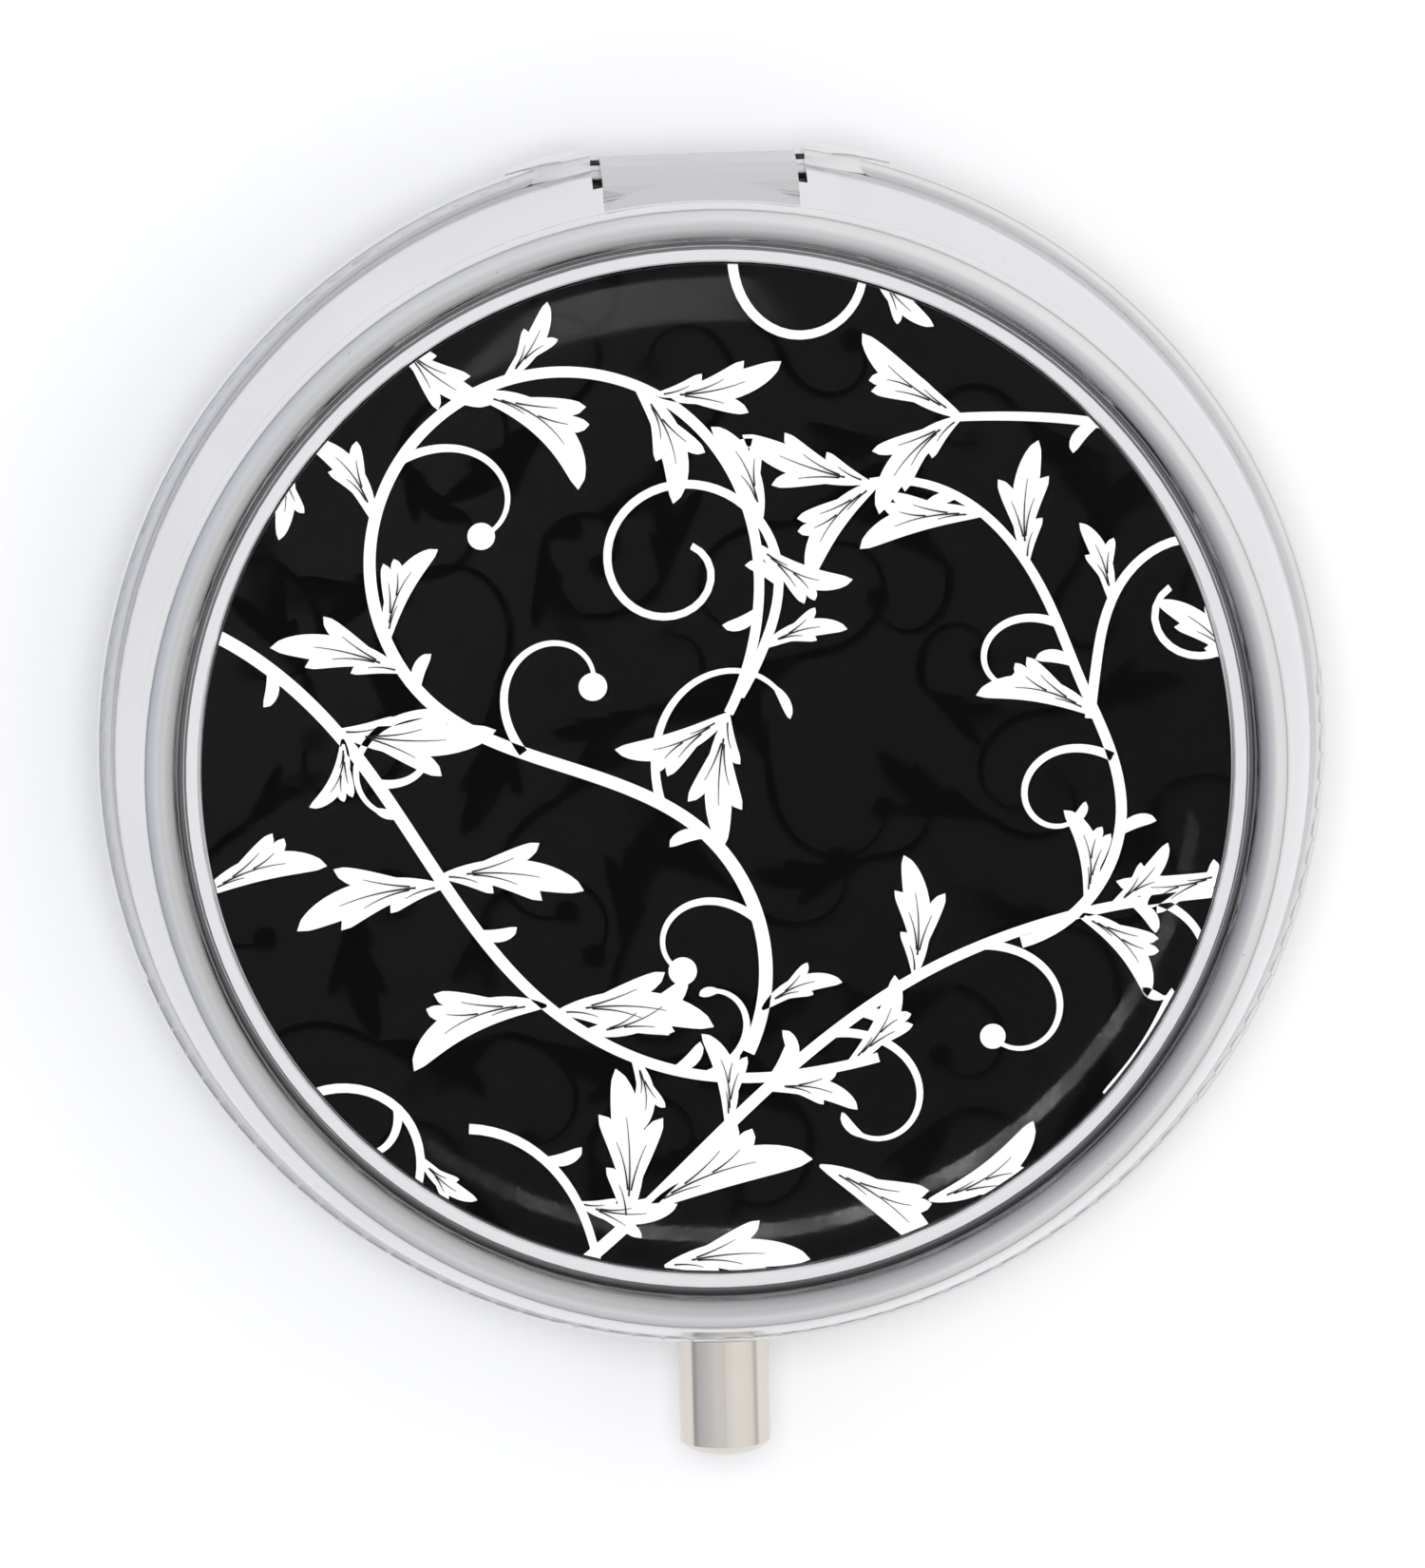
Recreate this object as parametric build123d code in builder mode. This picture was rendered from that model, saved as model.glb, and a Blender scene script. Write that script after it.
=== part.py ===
from build123d import *

import math
import os

# A round pill box with a hinged lid, a picture under a clear dome, and a push button.
# Millimetres, +Z up. The origin is the centre of the flat underside. The hinge is at +Y and the
# push button at -Y. The lid turns about the hinge pin, the button slides along Y.

# Base shell
rim_radius = 25.0
parting_height = 9.4
wall = 0.9
underside_radius = 19.9
underside_corner = 3.0
underside_turn = 62.0
rim_bead = 0.4
rim_inner_radius = 23.4
rim_inner_drop = 2.8
rear_flat_top = 24.25
rear_flat_foot = 22.4

# Lid shell, with heights above the parting plane
lid_gap = 0.06
skirt_foot_radius = 24.4
skirt_foot_round = 0.2
skirt_inner_radius = 23.55
crease_radius = 23.4
crease_rise = 4.3
bead_top_radius = 22.65
bead_top_rise = 5.42
bead_foot_radius = 21.8
bead_foot_rise = 4.45
lip_outer_radius = 21.6
lip_inner_radius = 21.0
lip_rise = 4.74
lip_chamfer = 0.08
recess_rise = 4.0
ceiling_rise = 3.2
ceiling_radius = 23.0
ceiling_corner = 0.3

# Hinge
pin_radius = 0.5
pin_y = 23.46
pin_drop = 0.9
pin_half_length = 7.0
bore_clearance = 0.05
knuckle_radius = 0.88
knuckle_half_width = 3.97
ear_radius = 1.15
ear_inner = 4.35
ear_shoulder = 4.9
ear_outer = 7.8
ear_tip_radius = 0.5
ear_stand_off = 0.05
notch_radius = 1.4
notch_outer_depth = 1.45
ear_clearance = 0.17
slit_rise = 2.5
slit_reach = 4.0
leaf_knee_out = 0.7
leaf_knee_rise = 2.3
leaf_bend_out = 0.45
leaf_bend_rise = 3.0
leaf_top_in = 0.36
leaf_top_rise = 4.2
leaf_inner = 0.56
leaf_inner_rise = 1.0
leaf_web_rise = 3.4
leaf_side_rise = 1.2
scoop_radius = 0.42
scoop_length = 1.8
scoop_y = 23.76
scoop_rise = 3.6

# Picture, dome and mirror
picture_radius = 20.9
backing_thickness = 0.2
print_thickness = 0.3
dome_edge = 0.3
dome_rise = 1.08
dome_shoulder_rise = 0.72
dome_shoulder_inset = 1.0
mirror_radius = 19.9
mirror_thickness = 1.2
pad_thickness = 0.15
pad_radius = 19.0
ring_inner_radius = 20.0
ring_outer_radius = 21.3
ring_lip_radius = 19.3
ring_lip = 0.25
ring_lip_edge = 0.1

# Tray
tray_clearance = 0.35
tray_floor = 0.8
tray_pad_thickness = 0.4
tray_pad_radius = 17.5
tray_top_rise = 0.35
tray_foot_inset = 0.5
tray_knee_inset = 0.5
tray_knee_rise = 3.2
tray_wall_slope = 0.7
tray_wall_outer = 22.7
tray_flange_radius = 23.2
tray_flange_thickness = 0.7
tray_rear_flat = 21.9
tray_rear_half_width = 8.2
well_radius = 20.9
divider = 1.1
well_corner = 1.8
well_floor_round = 1.5
housing_half_width = 4.3
housing_back = -14.1
housing_reach = 12.0
pocket_half_width = 3.4
pocket_back = -15.1
slot_half_width = 2.6
slot_front = -24.0
slot_back = -19.4

# Latch, along Y towards the front, which is negative
button_radius = 1.85
button_axis = 6.2
button_end = -30.3
button_end_flat = -29.93
button_dome_radius = 1.57
button_dome_swell = 0.07
button_corner = 0.28
button_inner_end = -22.7
button_flange_radius = 2.15
button_flange = 0.5
bush_radius = 2.3
bush_flange_radius = 2.75
bush_front = -24.05
bush_flange_front = -23.3
bush_back = -22.75
bush_seat_start = -21.8
shoulder_radius = 1.2
stem_radius = 0.9
plate_front = -21.2
plate_thickness = 0.5
plate_half_width = 1.9
clip_thickness = 0.3
clip_radius = 1.9
clip_groove = 0.25
spring_back = -17.6
spring_wire = 0.25
spring_radius = 1.25
spring_pitch = 0.5
bracket_thickness = 0.6
bracket_half_width = 2.8
bracket_foot = 2.2
bracket_top = 8.4
stem_end = -16.3
catch_half_width = 1.6
catch_front = -22.6
catch_thickness = 0.5
catch_lip = 0.45
catch_drop = 0.7
catch_foot_half_width = 2.8
catch_foot_depth = 1.05
catch_foot_thickness = 0.4
catch_rivet_spacing = 4.2
catch_rivet_y = -22.05
bracket_rivet_spacing = 3.4
bracket_rivet_y = -18.8
hook_gap = 0.15
hook_rise = 0.25
hook_over_lip = 0.1
rivet_head_radius = 0.55
rivet_head = 0.3
rivet_shank_radius = 0.3
rivet_depth = 0.45
clear_of_part = 5.0

# Heights that several pieces share
recess_height = parting_height + recess_rise
ceiling_height = parting_height + ceiling_rise
print_bottom = recess_height + backing_thickness
print_top = print_bottom + print_thickness
pin_height = parting_height - pin_drop
tray_bottom = wall + tray_pad_thickness
tray_top = parting_height + tray_top_rise


def along(angle, length):
    """The point at this distance from the origin, at this angle in degrees."""
    return (length * math.cos(math.radians(angle)), length * math.sin(math.radians(angle)))


# Base shell: a bowl with a rounded rim, two hinge ears, a flat behind the knuckle, the button's hole
pin_axis = Axis((0, pin_y, pin_height), (1, 0, 0))
corner_x, corner_z = along(underside_turn - 90, underside_corner)
wall_start = (underside_radius + corner_x, underside_corner + corner_z)
rim_centre = (rim_radius - rim_bead, parting_height - rim_bead)
rim_low = along(-45, rim_bead)
wall_end = (rim_centre[0] + rim_low[0], rim_centre[1] + rim_low[1])
inner_x, inner_z = along(underside_turn - 90, underside_corner - wall)
inner_start = (underside_radius + inner_x, underside_corner + inner_z)
inner_end = (rim_inner_radius, parting_height - rim_inner_drop)

with BuildPart() as base_shell:
    with BuildSketch(Plane.XZ):
        with BuildLine():
            Line((0, 0), (underside_radius, 0))
            TangentArc((underside_radius, 0), wall_start, tangent=(1, 0))
            TangentArc(wall_start, wall_end, tangent=along(underside_turn, 1))
            ThreePointArc(wall_end, (rim_radius, rim_centre[1]), (rim_centre[0], parting_height))
            Line((rim_centre[0], parting_height), (rim_inner_radius, parting_height))
            Line((rim_inner_radius, parting_height), inner_end)
            TangentArc(inner_start, inner_end, tangent=along(underside_turn, 1))
            TangentArc((underside_radius, wall), inner_start, tangent=(1, 0))
            Line((underside_radius, wall), (0, wall))
            Line((0, wall), (0, 0))
        make_face()
    revolve(axis=Axis.Z)
    for side in (1, -1):
        crown = (side * ear_shoulder, pin_y + ear_radius)
        tip = (side * ear_outer, pin_y + ear_tip_radius)
        with BuildSketch(Plane.XY.offset(pin_height)):
            with BuildLine():
                Polyline(tip, (tip[0], pin_y), (side * ear_inner, pin_y), (side * ear_inner, crown[1]), crown)
                TangentArc(crown, tip, tangent=(side, 0))
            make_face()
        revolve(axis=pin_axis)
    with BuildSketch(Plane.XY):
        Circle(rim_radius + clear_of_part)
        Circle(rim_radius + ear_stand_off, mode=Mode.SUBTRACT)
    extrude(amount=parting_height + clear_of_part, mode=Mode.SUBTRACT)
    with BuildSketch(Plane.YZ):
        with BuildLine():
            Polyline(
                (rear_flat_foot, 0),
                (rear_flat_top, pin_height),
                (rim_radius + clear_of_part, pin_height),
                (rim_radius + clear_of_part, 0),
                close=True,
            )
        make_face()
    extrude(amount=ear_inner, both=True, mode=Mode.SUBTRACT)
    with BuildSketch(Plane.YZ):
        with Locations((pin_y, pin_height)):
            Circle(notch_radius)
        with Locations((pin_y - notch_radius, pin_height)):
            Rectangle(clear_of_part, clear_of_part, align=(Align.MIN, Align.MIN))
        with Locations((pin_y + notch_radius / 3, pin_height)):
            Rectangle(clear_of_part, notch_outer_depth, align=(Align.MIN, Align.MAX))
    extrude(amount=ear_inner, both=True, mode=Mode.SUBTRACT)
    with BuildSketch(Plane.YZ):
        with Locations((pin_y, pin_height)):
            Circle(pin_radius)
    extrude(amount=pin_half_length, both=True, mode=Mode.SUBTRACT)
    with BuildSketch(Plane.XZ.offset(-bush_back)):
        with Locations((0, button_axis)):
            Circle(bush_radius)
    extrude(amount=clear_of_part, mode=Mode.SUBTRACT)
    with BuildSketch(Plane.XZ.offset(-bush_seat_start)):
        with Locations((0, button_axis)):
            Circle(bush_flange_radius)
    extrude(amount=bush_seat_start - bush_flange_front, mode=Mode.SUBTRACT)
    with BuildSketch(Plane.XY.offset(wall - rivet_depth)):
        with Locations((0, bracket_rivet_y)):
            with GridLocations(bracket_rivet_spacing, 0, 2, 1):
                Circle(rivet_shank_radius)
    extrude(amount=rivet_depth, mode=Mode.SUBTRACT)
base_shell.part.label = "base_shell"

with BuildPart() as hinge_pin:
    with BuildSketch(Plane.YZ):
        with Locations((pin_y, pin_height)):
            Circle(pin_radius)
    extrude(amount=pin_half_length, both=True)
hinge_pin.part.label = "hinge_pin"

# Lid shell: rounded skirt, bezel bead and lip round the recess, with the hinge knuckle and its leaf
skirt_foot = parting_height + lid_gap
crease = (crease_radius, parting_height + crease_rise)
bead_foot = (bead_foot_radius, parting_height + bead_foot_rise)
lip_top = parting_height + lip_rise
foot_side = (skirt_foot_radius, skirt_foot + skirt_foot_round)
foot_under = (skirt_foot_radius - skirt_foot_round, skirt_foot)
ceiling_side = (ceiling_radius + ceiling_corner, ceiling_height - ceiling_corner)
rivet_top = ceiling_height + rivet_depth
relief_crown = pin_y + ear_radius + ear_clearance
relief_tip = pin_y + ear_tip_radius + ear_clearance
relief_end = ear_outer + ear_clearance
scoop_align = (Align.CENTER, Align.CENTER, Align.MIN)

with BuildPart() as lid_shell:
    with BuildSketch(Plane.XZ):
        with BuildLine():
            Polyline(
                (0, recess_height),
                (lip_inner_radius, recess_height),
                (lip_inner_radius, lip_top - lip_chamfer),
                (lip_inner_radius + lip_chamfer, lip_top),
                (lip_outer_radius - lip_chamfer, lip_top),
                (lip_outer_radius, lip_top - lip_chamfer),
                (lip_outer_radius, bead_foot[1]),
                bead_foot,
            )
            ThreePointArc(bead_foot, (bead_top_radius, parting_height + bead_top_rise), crease)
            TangentArc(foot_side, crease, tangent=(0, 1))
            TangentArc(foot_side, foot_under, tangent=(0, -1))
            Line(foot_under, (skirt_inner_radius, skirt_foot))
            Line((skirt_inner_radius, skirt_foot), ceiling_side)
            TangentArc((ceiling_radius, ceiling_height), ceiling_side, tangent=(1, 0))
            Line((ceiling_radius, ceiling_height), (0, ceiling_height))
            Line((0, ceiling_height), (0, recess_height))
        make_face()
    revolve(axis=Axis.Z)
    with BuildSketch(Plane.XY.offset(pin_height)):
        with BuildLine():
            Line((-ear_shoulder, relief_crown), (ear_shoulder, relief_crown))
            TangentArc((ear_shoulder, relief_crown), (relief_end, relief_tip), tangent=(1, 0))
            Line((relief_end, relief_tip), (relief_end, pin_y))
            Line((relief_end, pin_y), (-relief_end, pin_y))
            Line((-relief_end, pin_y), (-relief_end, relief_tip))
            TangentArc((-ear_shoulder, relief_crown), (-relief_end, relief_tip), tangent=(-1, 0))
        make_face()
    revolve(axis=pin_axis, mode=Mode.SUBTRACT)
    with BuildSketch(Plane.YZ):
        with Locations((pin_y, pin_height)):
            Circle(knuckle_radius)
        with BuildLine():
            Polyline(
                (pin_y + knuckle_radius, pin_height),
                (pin_y + knuckle_radius, parting_height + leaf_side_rise),
                (pin_y + leaf_knee_out, parting_height + leaf_knee_rise),
                (pin_y + leaf_bend_out, parting_height + leaf_bend_rise),
                (pin_y - leaf_top_in, parting_height + leaf_top_rise),
                (pin_y - leaf_inner, parting_height + leaf_web_rise),
                (pin_y - leaf_inner, parting_height + leaf_inner_rise),
                (pin_y - knuckle_radius, parting_height),
                (pin_y - knuckle_radius, pin_height),
                close=True,
            )
        make_face()
    extrude(amount=knuckle_half_width, both=True)
    for side in (1, -1):
        with Locations((side * knuckle_half_width, scoop_y, parting_height + scoop_rise)):
            inward = (0, -90 * side, 0)
            Cone(scoop_radius, 0, scoop_length, rotation=inward, align=scoop_align, mode=Mode.SUBTRACT)
    with BuildSketch(Plane.XY):
        with Locations((knuckle_half_width, rim_radius), (-ear_inner, rim_radius)):
            Rectangle(ear_inner - knuckle_half_width, 2 * slit_reach, align=(Align.MIN, Align.CENTER))
    extrude(amount=skirt_foot + slit_rise, mode=Mode.SUBTRACT)
    with BuildSketch(Plane.YZ):
        with Locations((pin_y, pin_height)):
            Circle(pin_radius + bore_clearance)
    extrude(amount=ear_inner, both=True, mode=Mode.SUBTRACT)
    with BuildSketch(Plane.XY.offset(ceiling_height)):
        with Locations((0, catch_rivet_y)):
            with GridLocations(catch_rivet_spacing, 0, 2, 1):
                Circle(rivet_shank_radius)
    extrude(amount=rivet_depth, mode=Mode.SUBTRACT)
lid_shell.part.label = "lid_shell"

# What lies in the lid's recess, from below: adhesive disc, printed disc, clear dome
with BuildPart() as insert_backing:
    with BuildSketch(Plane.XY.offset(recess_height)):
        Circle(picture_radius)
    extrude(amount=backing_thickness)
insert_backing.part.label = "insert_backing"

with BuildPart() as print_sheet:
    with BuildSketch(Plane.XY.offset(print_bottom)):
        Circle(picture_radius)
    extrude(amount=print_thickness)
print_sheet.part.label = "print_sheet"

dome_top = print_top + dome_rise
dome_side = (picture_radius, print_top + dome_edge)
dome_shoulder = (picture_radius - dome_shoulder_inset, print_top + dome_shoulder_rise)

with BuildPart() as crystal_dome:
    with BuildSketch(Plane.XZ):
        with BuildLine():
            Line((0, print_top), (picture_radius, print_top))
            Line((picture_radius, print_top), dome_side)
            TangentArc(dome_side, dome_shoulder, tangent=(0, 1))
            TangentArc((0, dome_top), dome_shoulder, tangent=(1, 0))
            Line((0, dome_top), (0, print_top))
        make_face()
    revolve(axis=Axis.Z)
crystal_dome.part.label = "crystal_dome"

# Mirror under the lid, on its pad and inside its ring
mirror_top = ceiling_height - pad_thickness
mirror_bottom = mirror_top - mirror_thickness

with BuildPart() as mirror_pad:
    with BuildSketch(Plane.XY.offset(mirror_top)):
        Circle(pad_radius)
    extrude(amount=pad_thickness)
mirror_pad.part.label = "mirror_pad"

with BuildPart() as mirror:
    with BuildSketch(Plane.XY.offset(mirror_bottom)):
        Circle(mirror_radius)
    extrude(amount=mirror_thickness)
mirror.part.label = "mirror"

ring_mid = (ring_inner_radius + ring_outer_radius) / 2

with BuildPart() as mirror_ring:
    with BuildSketch(Plane.XZ):
        with BuildLine():
            Line((ring_inner_radius, ceiling_height), (ring_outer_radius, ceiling_height))
            Line((ring_outer_radius, ceiling_height), (ring_outer_radius, mirror_bottom))
            ThreePointArc(
                (ring_outer_radius, mirror_bottom),
                (ring_mid, mirror_bottom - ring_lip - ring_lip_edge),
                (ring_lip_radius, mirror_bottom - ring_lip_edge),
            )
            Line((ring_lip_radius, mirror_bottom - ring_lip_edge), (ring_lip_radius, mirror_bottom))
            Line((ring_lip_radius, mirror_bottom), (ring_inner_radius, mirror_bottom))
            Line((ring_inner_radius, mirror_bottom), (ring_inner_radius, ceiling_height))
        make_face()
    revolve(axis=Axis.Z)
mirror_ring.part.label = "mirror_ring"

# Tray with three wells and a pocket for the latch, on its adhesive pad
tray_foot_radius = underside_radius + tray_foot_inset
tray_knee = (tray_wall_outer - tray_knee_inset, tray_bottom + tray_knee_rise)
flange_bottom = tray_top - tray_flange_thickness
wells_floor = tray_bottom + tray_floor
to_front = (Align.CENTER, Align.MAX)

with BuildPart() as tray_pad:
    with BuildSketch(Plane.XY.offset(wall)):
        Circle(tray_pad_radius)
        with Locations((0, housing_back)):
            Rectangle(2 * housing_half_width, housing_reach, align=to_front, mode=Mode.SUBTRACT)
    extrude(amount=tray_pad_thickness)
tray_pad.part.label = "tray_pad"

with BuildPart() as pill_tray:
    with BuildSketch(Plane.XZ):
        with BuildLine():
            Line((0, tray_bottom), (tray_foot_radius, tray_bottom))
            TangentArc((tray_foot_radius, tray_bottom), tray_knee, tangent=(1, tray_wall_slope))
            Line(tray_knee, (tray_wall_outer, flange_bottom))
            Line((tray_wall_outer, flange_bottom), (tray_flange_radius, flange_bottom))
            Line((tray_flange_radius, flange_bottom), (tray_flange_radius, tray_top))
            Line((tray_flange_radius, tray_top), (0, tray_top))
            Line((0, tray_top), (0, tray_bottom))
        make_face()
    revolve(axis=Axis.Z)
    with BuildSketch(Plane.XY.offset(tray_bottom)):
        with Locations((0, tray_rear_flat)):
            Rectangle(2 * tray_rear_half_width, clear_of_part, align=(Align.CENTER, Align.MIN))
    extrude(amount=parting_height, mode=Mode.SUBTRACT)
    with BuildSketch(Plane.XY.offset(wells_floor)) as wells:
        Circle(well_radius)
        with PolarLocations(0, 2, start_angle=30, angular_range=240):
            Rectangle(2 * rim_radius, divider, align=(Align.MIN, Align.CENTER), mode=Mode.SUBTRACT)
        with Locations((0, housing_back)):
            Rectangle(2 * housing_half_width, housing_reach, align=to_front, mode=Mode.SUBTRACT)
        Rectangle(divider, divider - housing_back, align=to_front, mode=Mode.SUBTRACT)
        fillet(wells.vertices(), well_corner)
    extrude(amount=parting_height, mode=Mode.SUBTRACT)
    well_floors = pill_tray.edges().filter_by_position(Axis.Z, wells_floor - 0.01, wells_floor + 0.01)
    fillet(well_floors, well_floor_round)
    with BuildSketch(Plane.XY.offset(tray_bottom)):
        with Locations((0, pocket_back)):
            Rectangle(2 * pocket_half_width, housing_reach, align=to_front)
    extrude(amount=flange_bottom - tray_bottom, mode=Mode.SUBTRACT)
    with BuildSketch(Plane.XY.offset(tray_bottom)):
        with Locations((0, slot_front)):
            Rectangle(2 * slot_half_width, slot_back - slot_front, align=(Align.CENTER, Align.MIN))
    extrude(amount=parting_height, mode=Mode.SUBTRACT)
pill_tray.part.label = "pill_tray"

# Push button: a turned plunger with a flange that stops it inside, a shoulder and a thin stem
flange_back = button_inner_end + button_flange
plate_back = plate_front + plate_thickness
clip_back = plate_back + clip_thickness
groove_radius = stem_radius - clip_groove

with BuildPart() as push_button:
    with BuildSketch(Plane((0, 0, button_axis), x_dir=(0, 1, 0), z_dir=(1, 0, 0))):
        with BuildLine():
            ThreePointArc(
                (button_end, 0),
                (button_end + button_dome_swell, button_dome_radius / 2),
                (button_end_flat, button_dome_radius),
            )
            Polyline(
                (button_end_flat, button_dome_radius),
                (button_end_flat + button_corner, button_radius),
                (button_inner_end, button_radius),
                (button_inner_end, button_flange_radius),
                (flange_back, button_flange_radius),
                (flange_back, shoulder_radius),
                (plate_front, shoulder_radius),
                (plate_front, stem_radius),
                (plate_back, stem_radius),
                (plate_back, groove_radius),
                (clip_back, groove_radius),
                (clip_back, stem_radius),
                (stem_end, stem_radius),
                (stem_end, 0),
                (button_end, 0),
            )
        make_face()
    revolve(axis=Axis((0, 0, button_axis), (0, 1, 0)))
push_button.part.label = "push_button"

# Flanged bush that guides the button in the wall
with BuildPart() as button_bush:
    with BuildSketch(Plane.XZ.offset(-bush_back)):
        with Locations((0, button_axis)):
            Circle(bush_flange_radius)
    extrude(amount=bush_back - bush_flange_front)
    with BuildSketch(Plane.XZ.offset(-bush_flange_front)):
        with Locations((0, button_axis)):
            Circle(bush_radius)
    extrude(amount=bush_flange_front - bush_front)
    with BuildSketch(Plane.XZ.offset(-bush_back)):
        with Locations((0, button_axis)):
            Circle(button_radius + bore_clearance)
    extrude(amount=bush_back - bush_front, mode=Mode.SUBTRACT)
button_bush.part.label = "button_bush"

# Hook plate on the stem: it stands up through the tray's slot, with a tooth towards the front
catch_bottom = parting_height - catch_drop
lip_inner_end = catch_front + catch_thickness + catch_lip
tooth_front = lip_inner_end + hook_gap
tooth_bottom = catch_bottom + catch_lip + hook_over_lip
hook_top = parting_height + hook_rise
plate_bottom = button_axis - plate_half_width

with BuildPart() as latch_plate:
    with BuildSketch(Plane.XZ.offset(-plate_back)):
        with Locations((0, plate_bottom)):
            Rectangle(2 * plate_half_width, hook_top - plate_bottom, align=(Align.CENTER, Align.MIN))
        with Locations((0, button_axis)):
            Circle(stem_radius, mode=Mode.SUBTRACT)
    extrude(amount=plate_thickness)
    with BuildSketch(Plane.XZ.offset(-plate_front)):
        with Locations((0, tooth_bottom)):
            Rectangle(2 * plate_half_width, hook_top - tooth_bottom, align=(Align.CENTER, Align.MIN))
    extrude(amount=plate_front - tooth_front)
latch_plate.part.label = "latch_plate"

# Spring clip in the stem's groove, open downwards
with BuildPart() as stem_clip:
    with BuildSketch(Plane.XZ.offset(-clip_back)):
        with Locations((0, button_axis)):
            Circle(clip_radius)
            Circle(groove_radius, mode=Mode.SUBTRACT)
            Rectangle(2 * groove_radius, clip_radius, align=(Align.CENTER, Align.MAX), mode=Mode.SUBTRACT)
    extrude(amount=clip_thickness)
stem_clip.part.label = "stem_clip"

# Compression spring between the clip and the bracket
spring_length = spring_back - clip_back - spring_wire

with BuildPart() as button_spring:
    with BuildLine():
        coil = Helix(
            pitch=spring_pitch,
            height=spring_length,
            radius=spring_radius,
            center=(0, clip_back + spring_wire / 2, button_axis),
            direction=(0, 1, 0),
        )
    with BuildSketch(coil ^ 0):
        Circle(spring_wire / 2)
    sweep(path=coil)
button_spring.part.label = "button_spring"

# Bracket on the base's floor that backs the spring and guides the stem's end, with its rivets
bracket_back = spring_back + bracket_thickness

with BuildPart() as latch_bracket:
    with BuildSketch(Plane.XZ.offset(-bracket_back)):
        with Locations((0, wall)):
            Rectangle(2 * bracket_half_width, bracket_top - wall, align=(Align.CENTER, Align.MIN))
        with Locations((0, button_axis)):
            Circle(stem_radius + bore_clearance, mode=Mode.SUBTRACT)
    extrude(amount=bracket_thickness)
    with BuildSketch(Plane.XY.offset(wall)):
        with Locations((0, spring_back)):
            Rectangle(2 * bracket_half_width, bracket_foot, align=(Align.CENTER, Align.MAX))
        with Locations((0, bracket_rivet_y)):
            with GridLocations(bracket_rivet_spacing, 0, 2, 1):
                Circle(rivet_shank_radius, mode=Mode.SUBTRACT)
    extrude(amount=bracket_thickness)
latch_bracket.part.label = "latch_bracket"

with BuildPart() as bracket_rivets:
    with BuildSketch(Plane.XY.offset(wall - rivet_depth)):
        with Locations((0, bracket_rivet_y)):
            with GridLocations(bracket_rivet_spacing, 0, 2, 1):
                Circle(rivet_shank_radius)
    extrude(amount=rivet_depth + bracket_thickness)
    with BuildSketch(Plane.XY.offset(wall + bracket_thickness)):
        with Locations((0, bracket_rivet_y)):
            with GridLocations(bracket_rivet_spacing, 0, 2, 1):
                Circle(rivet_head_radius)
    extrude(amount=rivet_head)
bracket_rivets.part.label = "bracket_rivets"

# Catch: a foot under the lid and a tab that hangs into the tray's slot, with an inward lip
foot_bottom = ceiling_height - catch_foot_thickness

with BuildPart() as lid_catch:
    with BuildSketch(Plane.XY.offset(foot_bottom)):
        with Locations((0, catch_front)):
            foot_align = (Align.CENTER, Align.MIN)
            Rectangle(2 * catch_foot_half_width, catch_foot_depth, align=foot_align)
        with Locations((0, catch_rivet_y)):
            with GridLocations(catch_rivet_spacing, 0, 2, 1):
                Circle(rivet_shank_radius, mode=Mode.SUBTRACT)
    extrude(amount=catch_foot_thickness)
    with BuildSketch(Plane.YZ):
        with BuildLine():
            Polyline(
                (catch_front, foot_bottom),
                (catch_front, catch_bottom),
                (lip_inner_end, catch_bottom),
                (lip_inner_end, catch_bottom + catch_lip),
                (catch_front + catch_thickness, catch_bottom + catch_lip),
                (catch_front + catch_thickness, foot_bottom),
                close=True,
            )
        make_face()
    extrude(amount=catch_half_width, both=True)
lid_catch.part.label = "lid_catch"

with BuildPart() as catch_rivets:
    with BuildSketch(Plane.XY.offset(foot_bottom)):
        with Locations((0, catch_rivet_y)):
            with GridLocations(catch_rivet_spacing, 0, 2, 1):
                Circle(rivet_shank_radius)
    extrude(amount=rivet_top - foot_bottom)
    with BuildSketch(Plane.XY.offset(foot_bottom - rivet_head)):
        with Locations((0, catch_rivet_y)):
            with GridLocations(catch_rivet_spacing, 0, 2, 1):
                Circle(rivet_head_radius)
    extrude(amount=rivet_head)
catch_rivets.part.label = "catch_rivets"

pieces = (
    base_shell,
    hinge_pin,
    lid_shell,
    insert_backing,
    print_sheet,
    crystal_dome,
    mirror_pad,
    mirror,
    mirror_ring,
    tray_pad,
    pill_tray,
    push_button,
    button_bush,
    latch_plate,
    stem_clip,
    button_spring,
    latch_bracket,
    bracket_rivets,
    lid_catch,
    catch_rivets,
)
os.makedirs("parts", exist_ok=True)
for piece in pieces:
    export_step(piece.part, f"parts/{piece.part.label}.step")
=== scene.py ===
import math
import random

import bmesh
import bpy
from bpy.props import FloatProperty, FloatVectorProperty, IntProperty, PointerProperty
from bpy.types import Operator, Panel, PropertyGroup
from mathutils import Matrix, Vector


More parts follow.
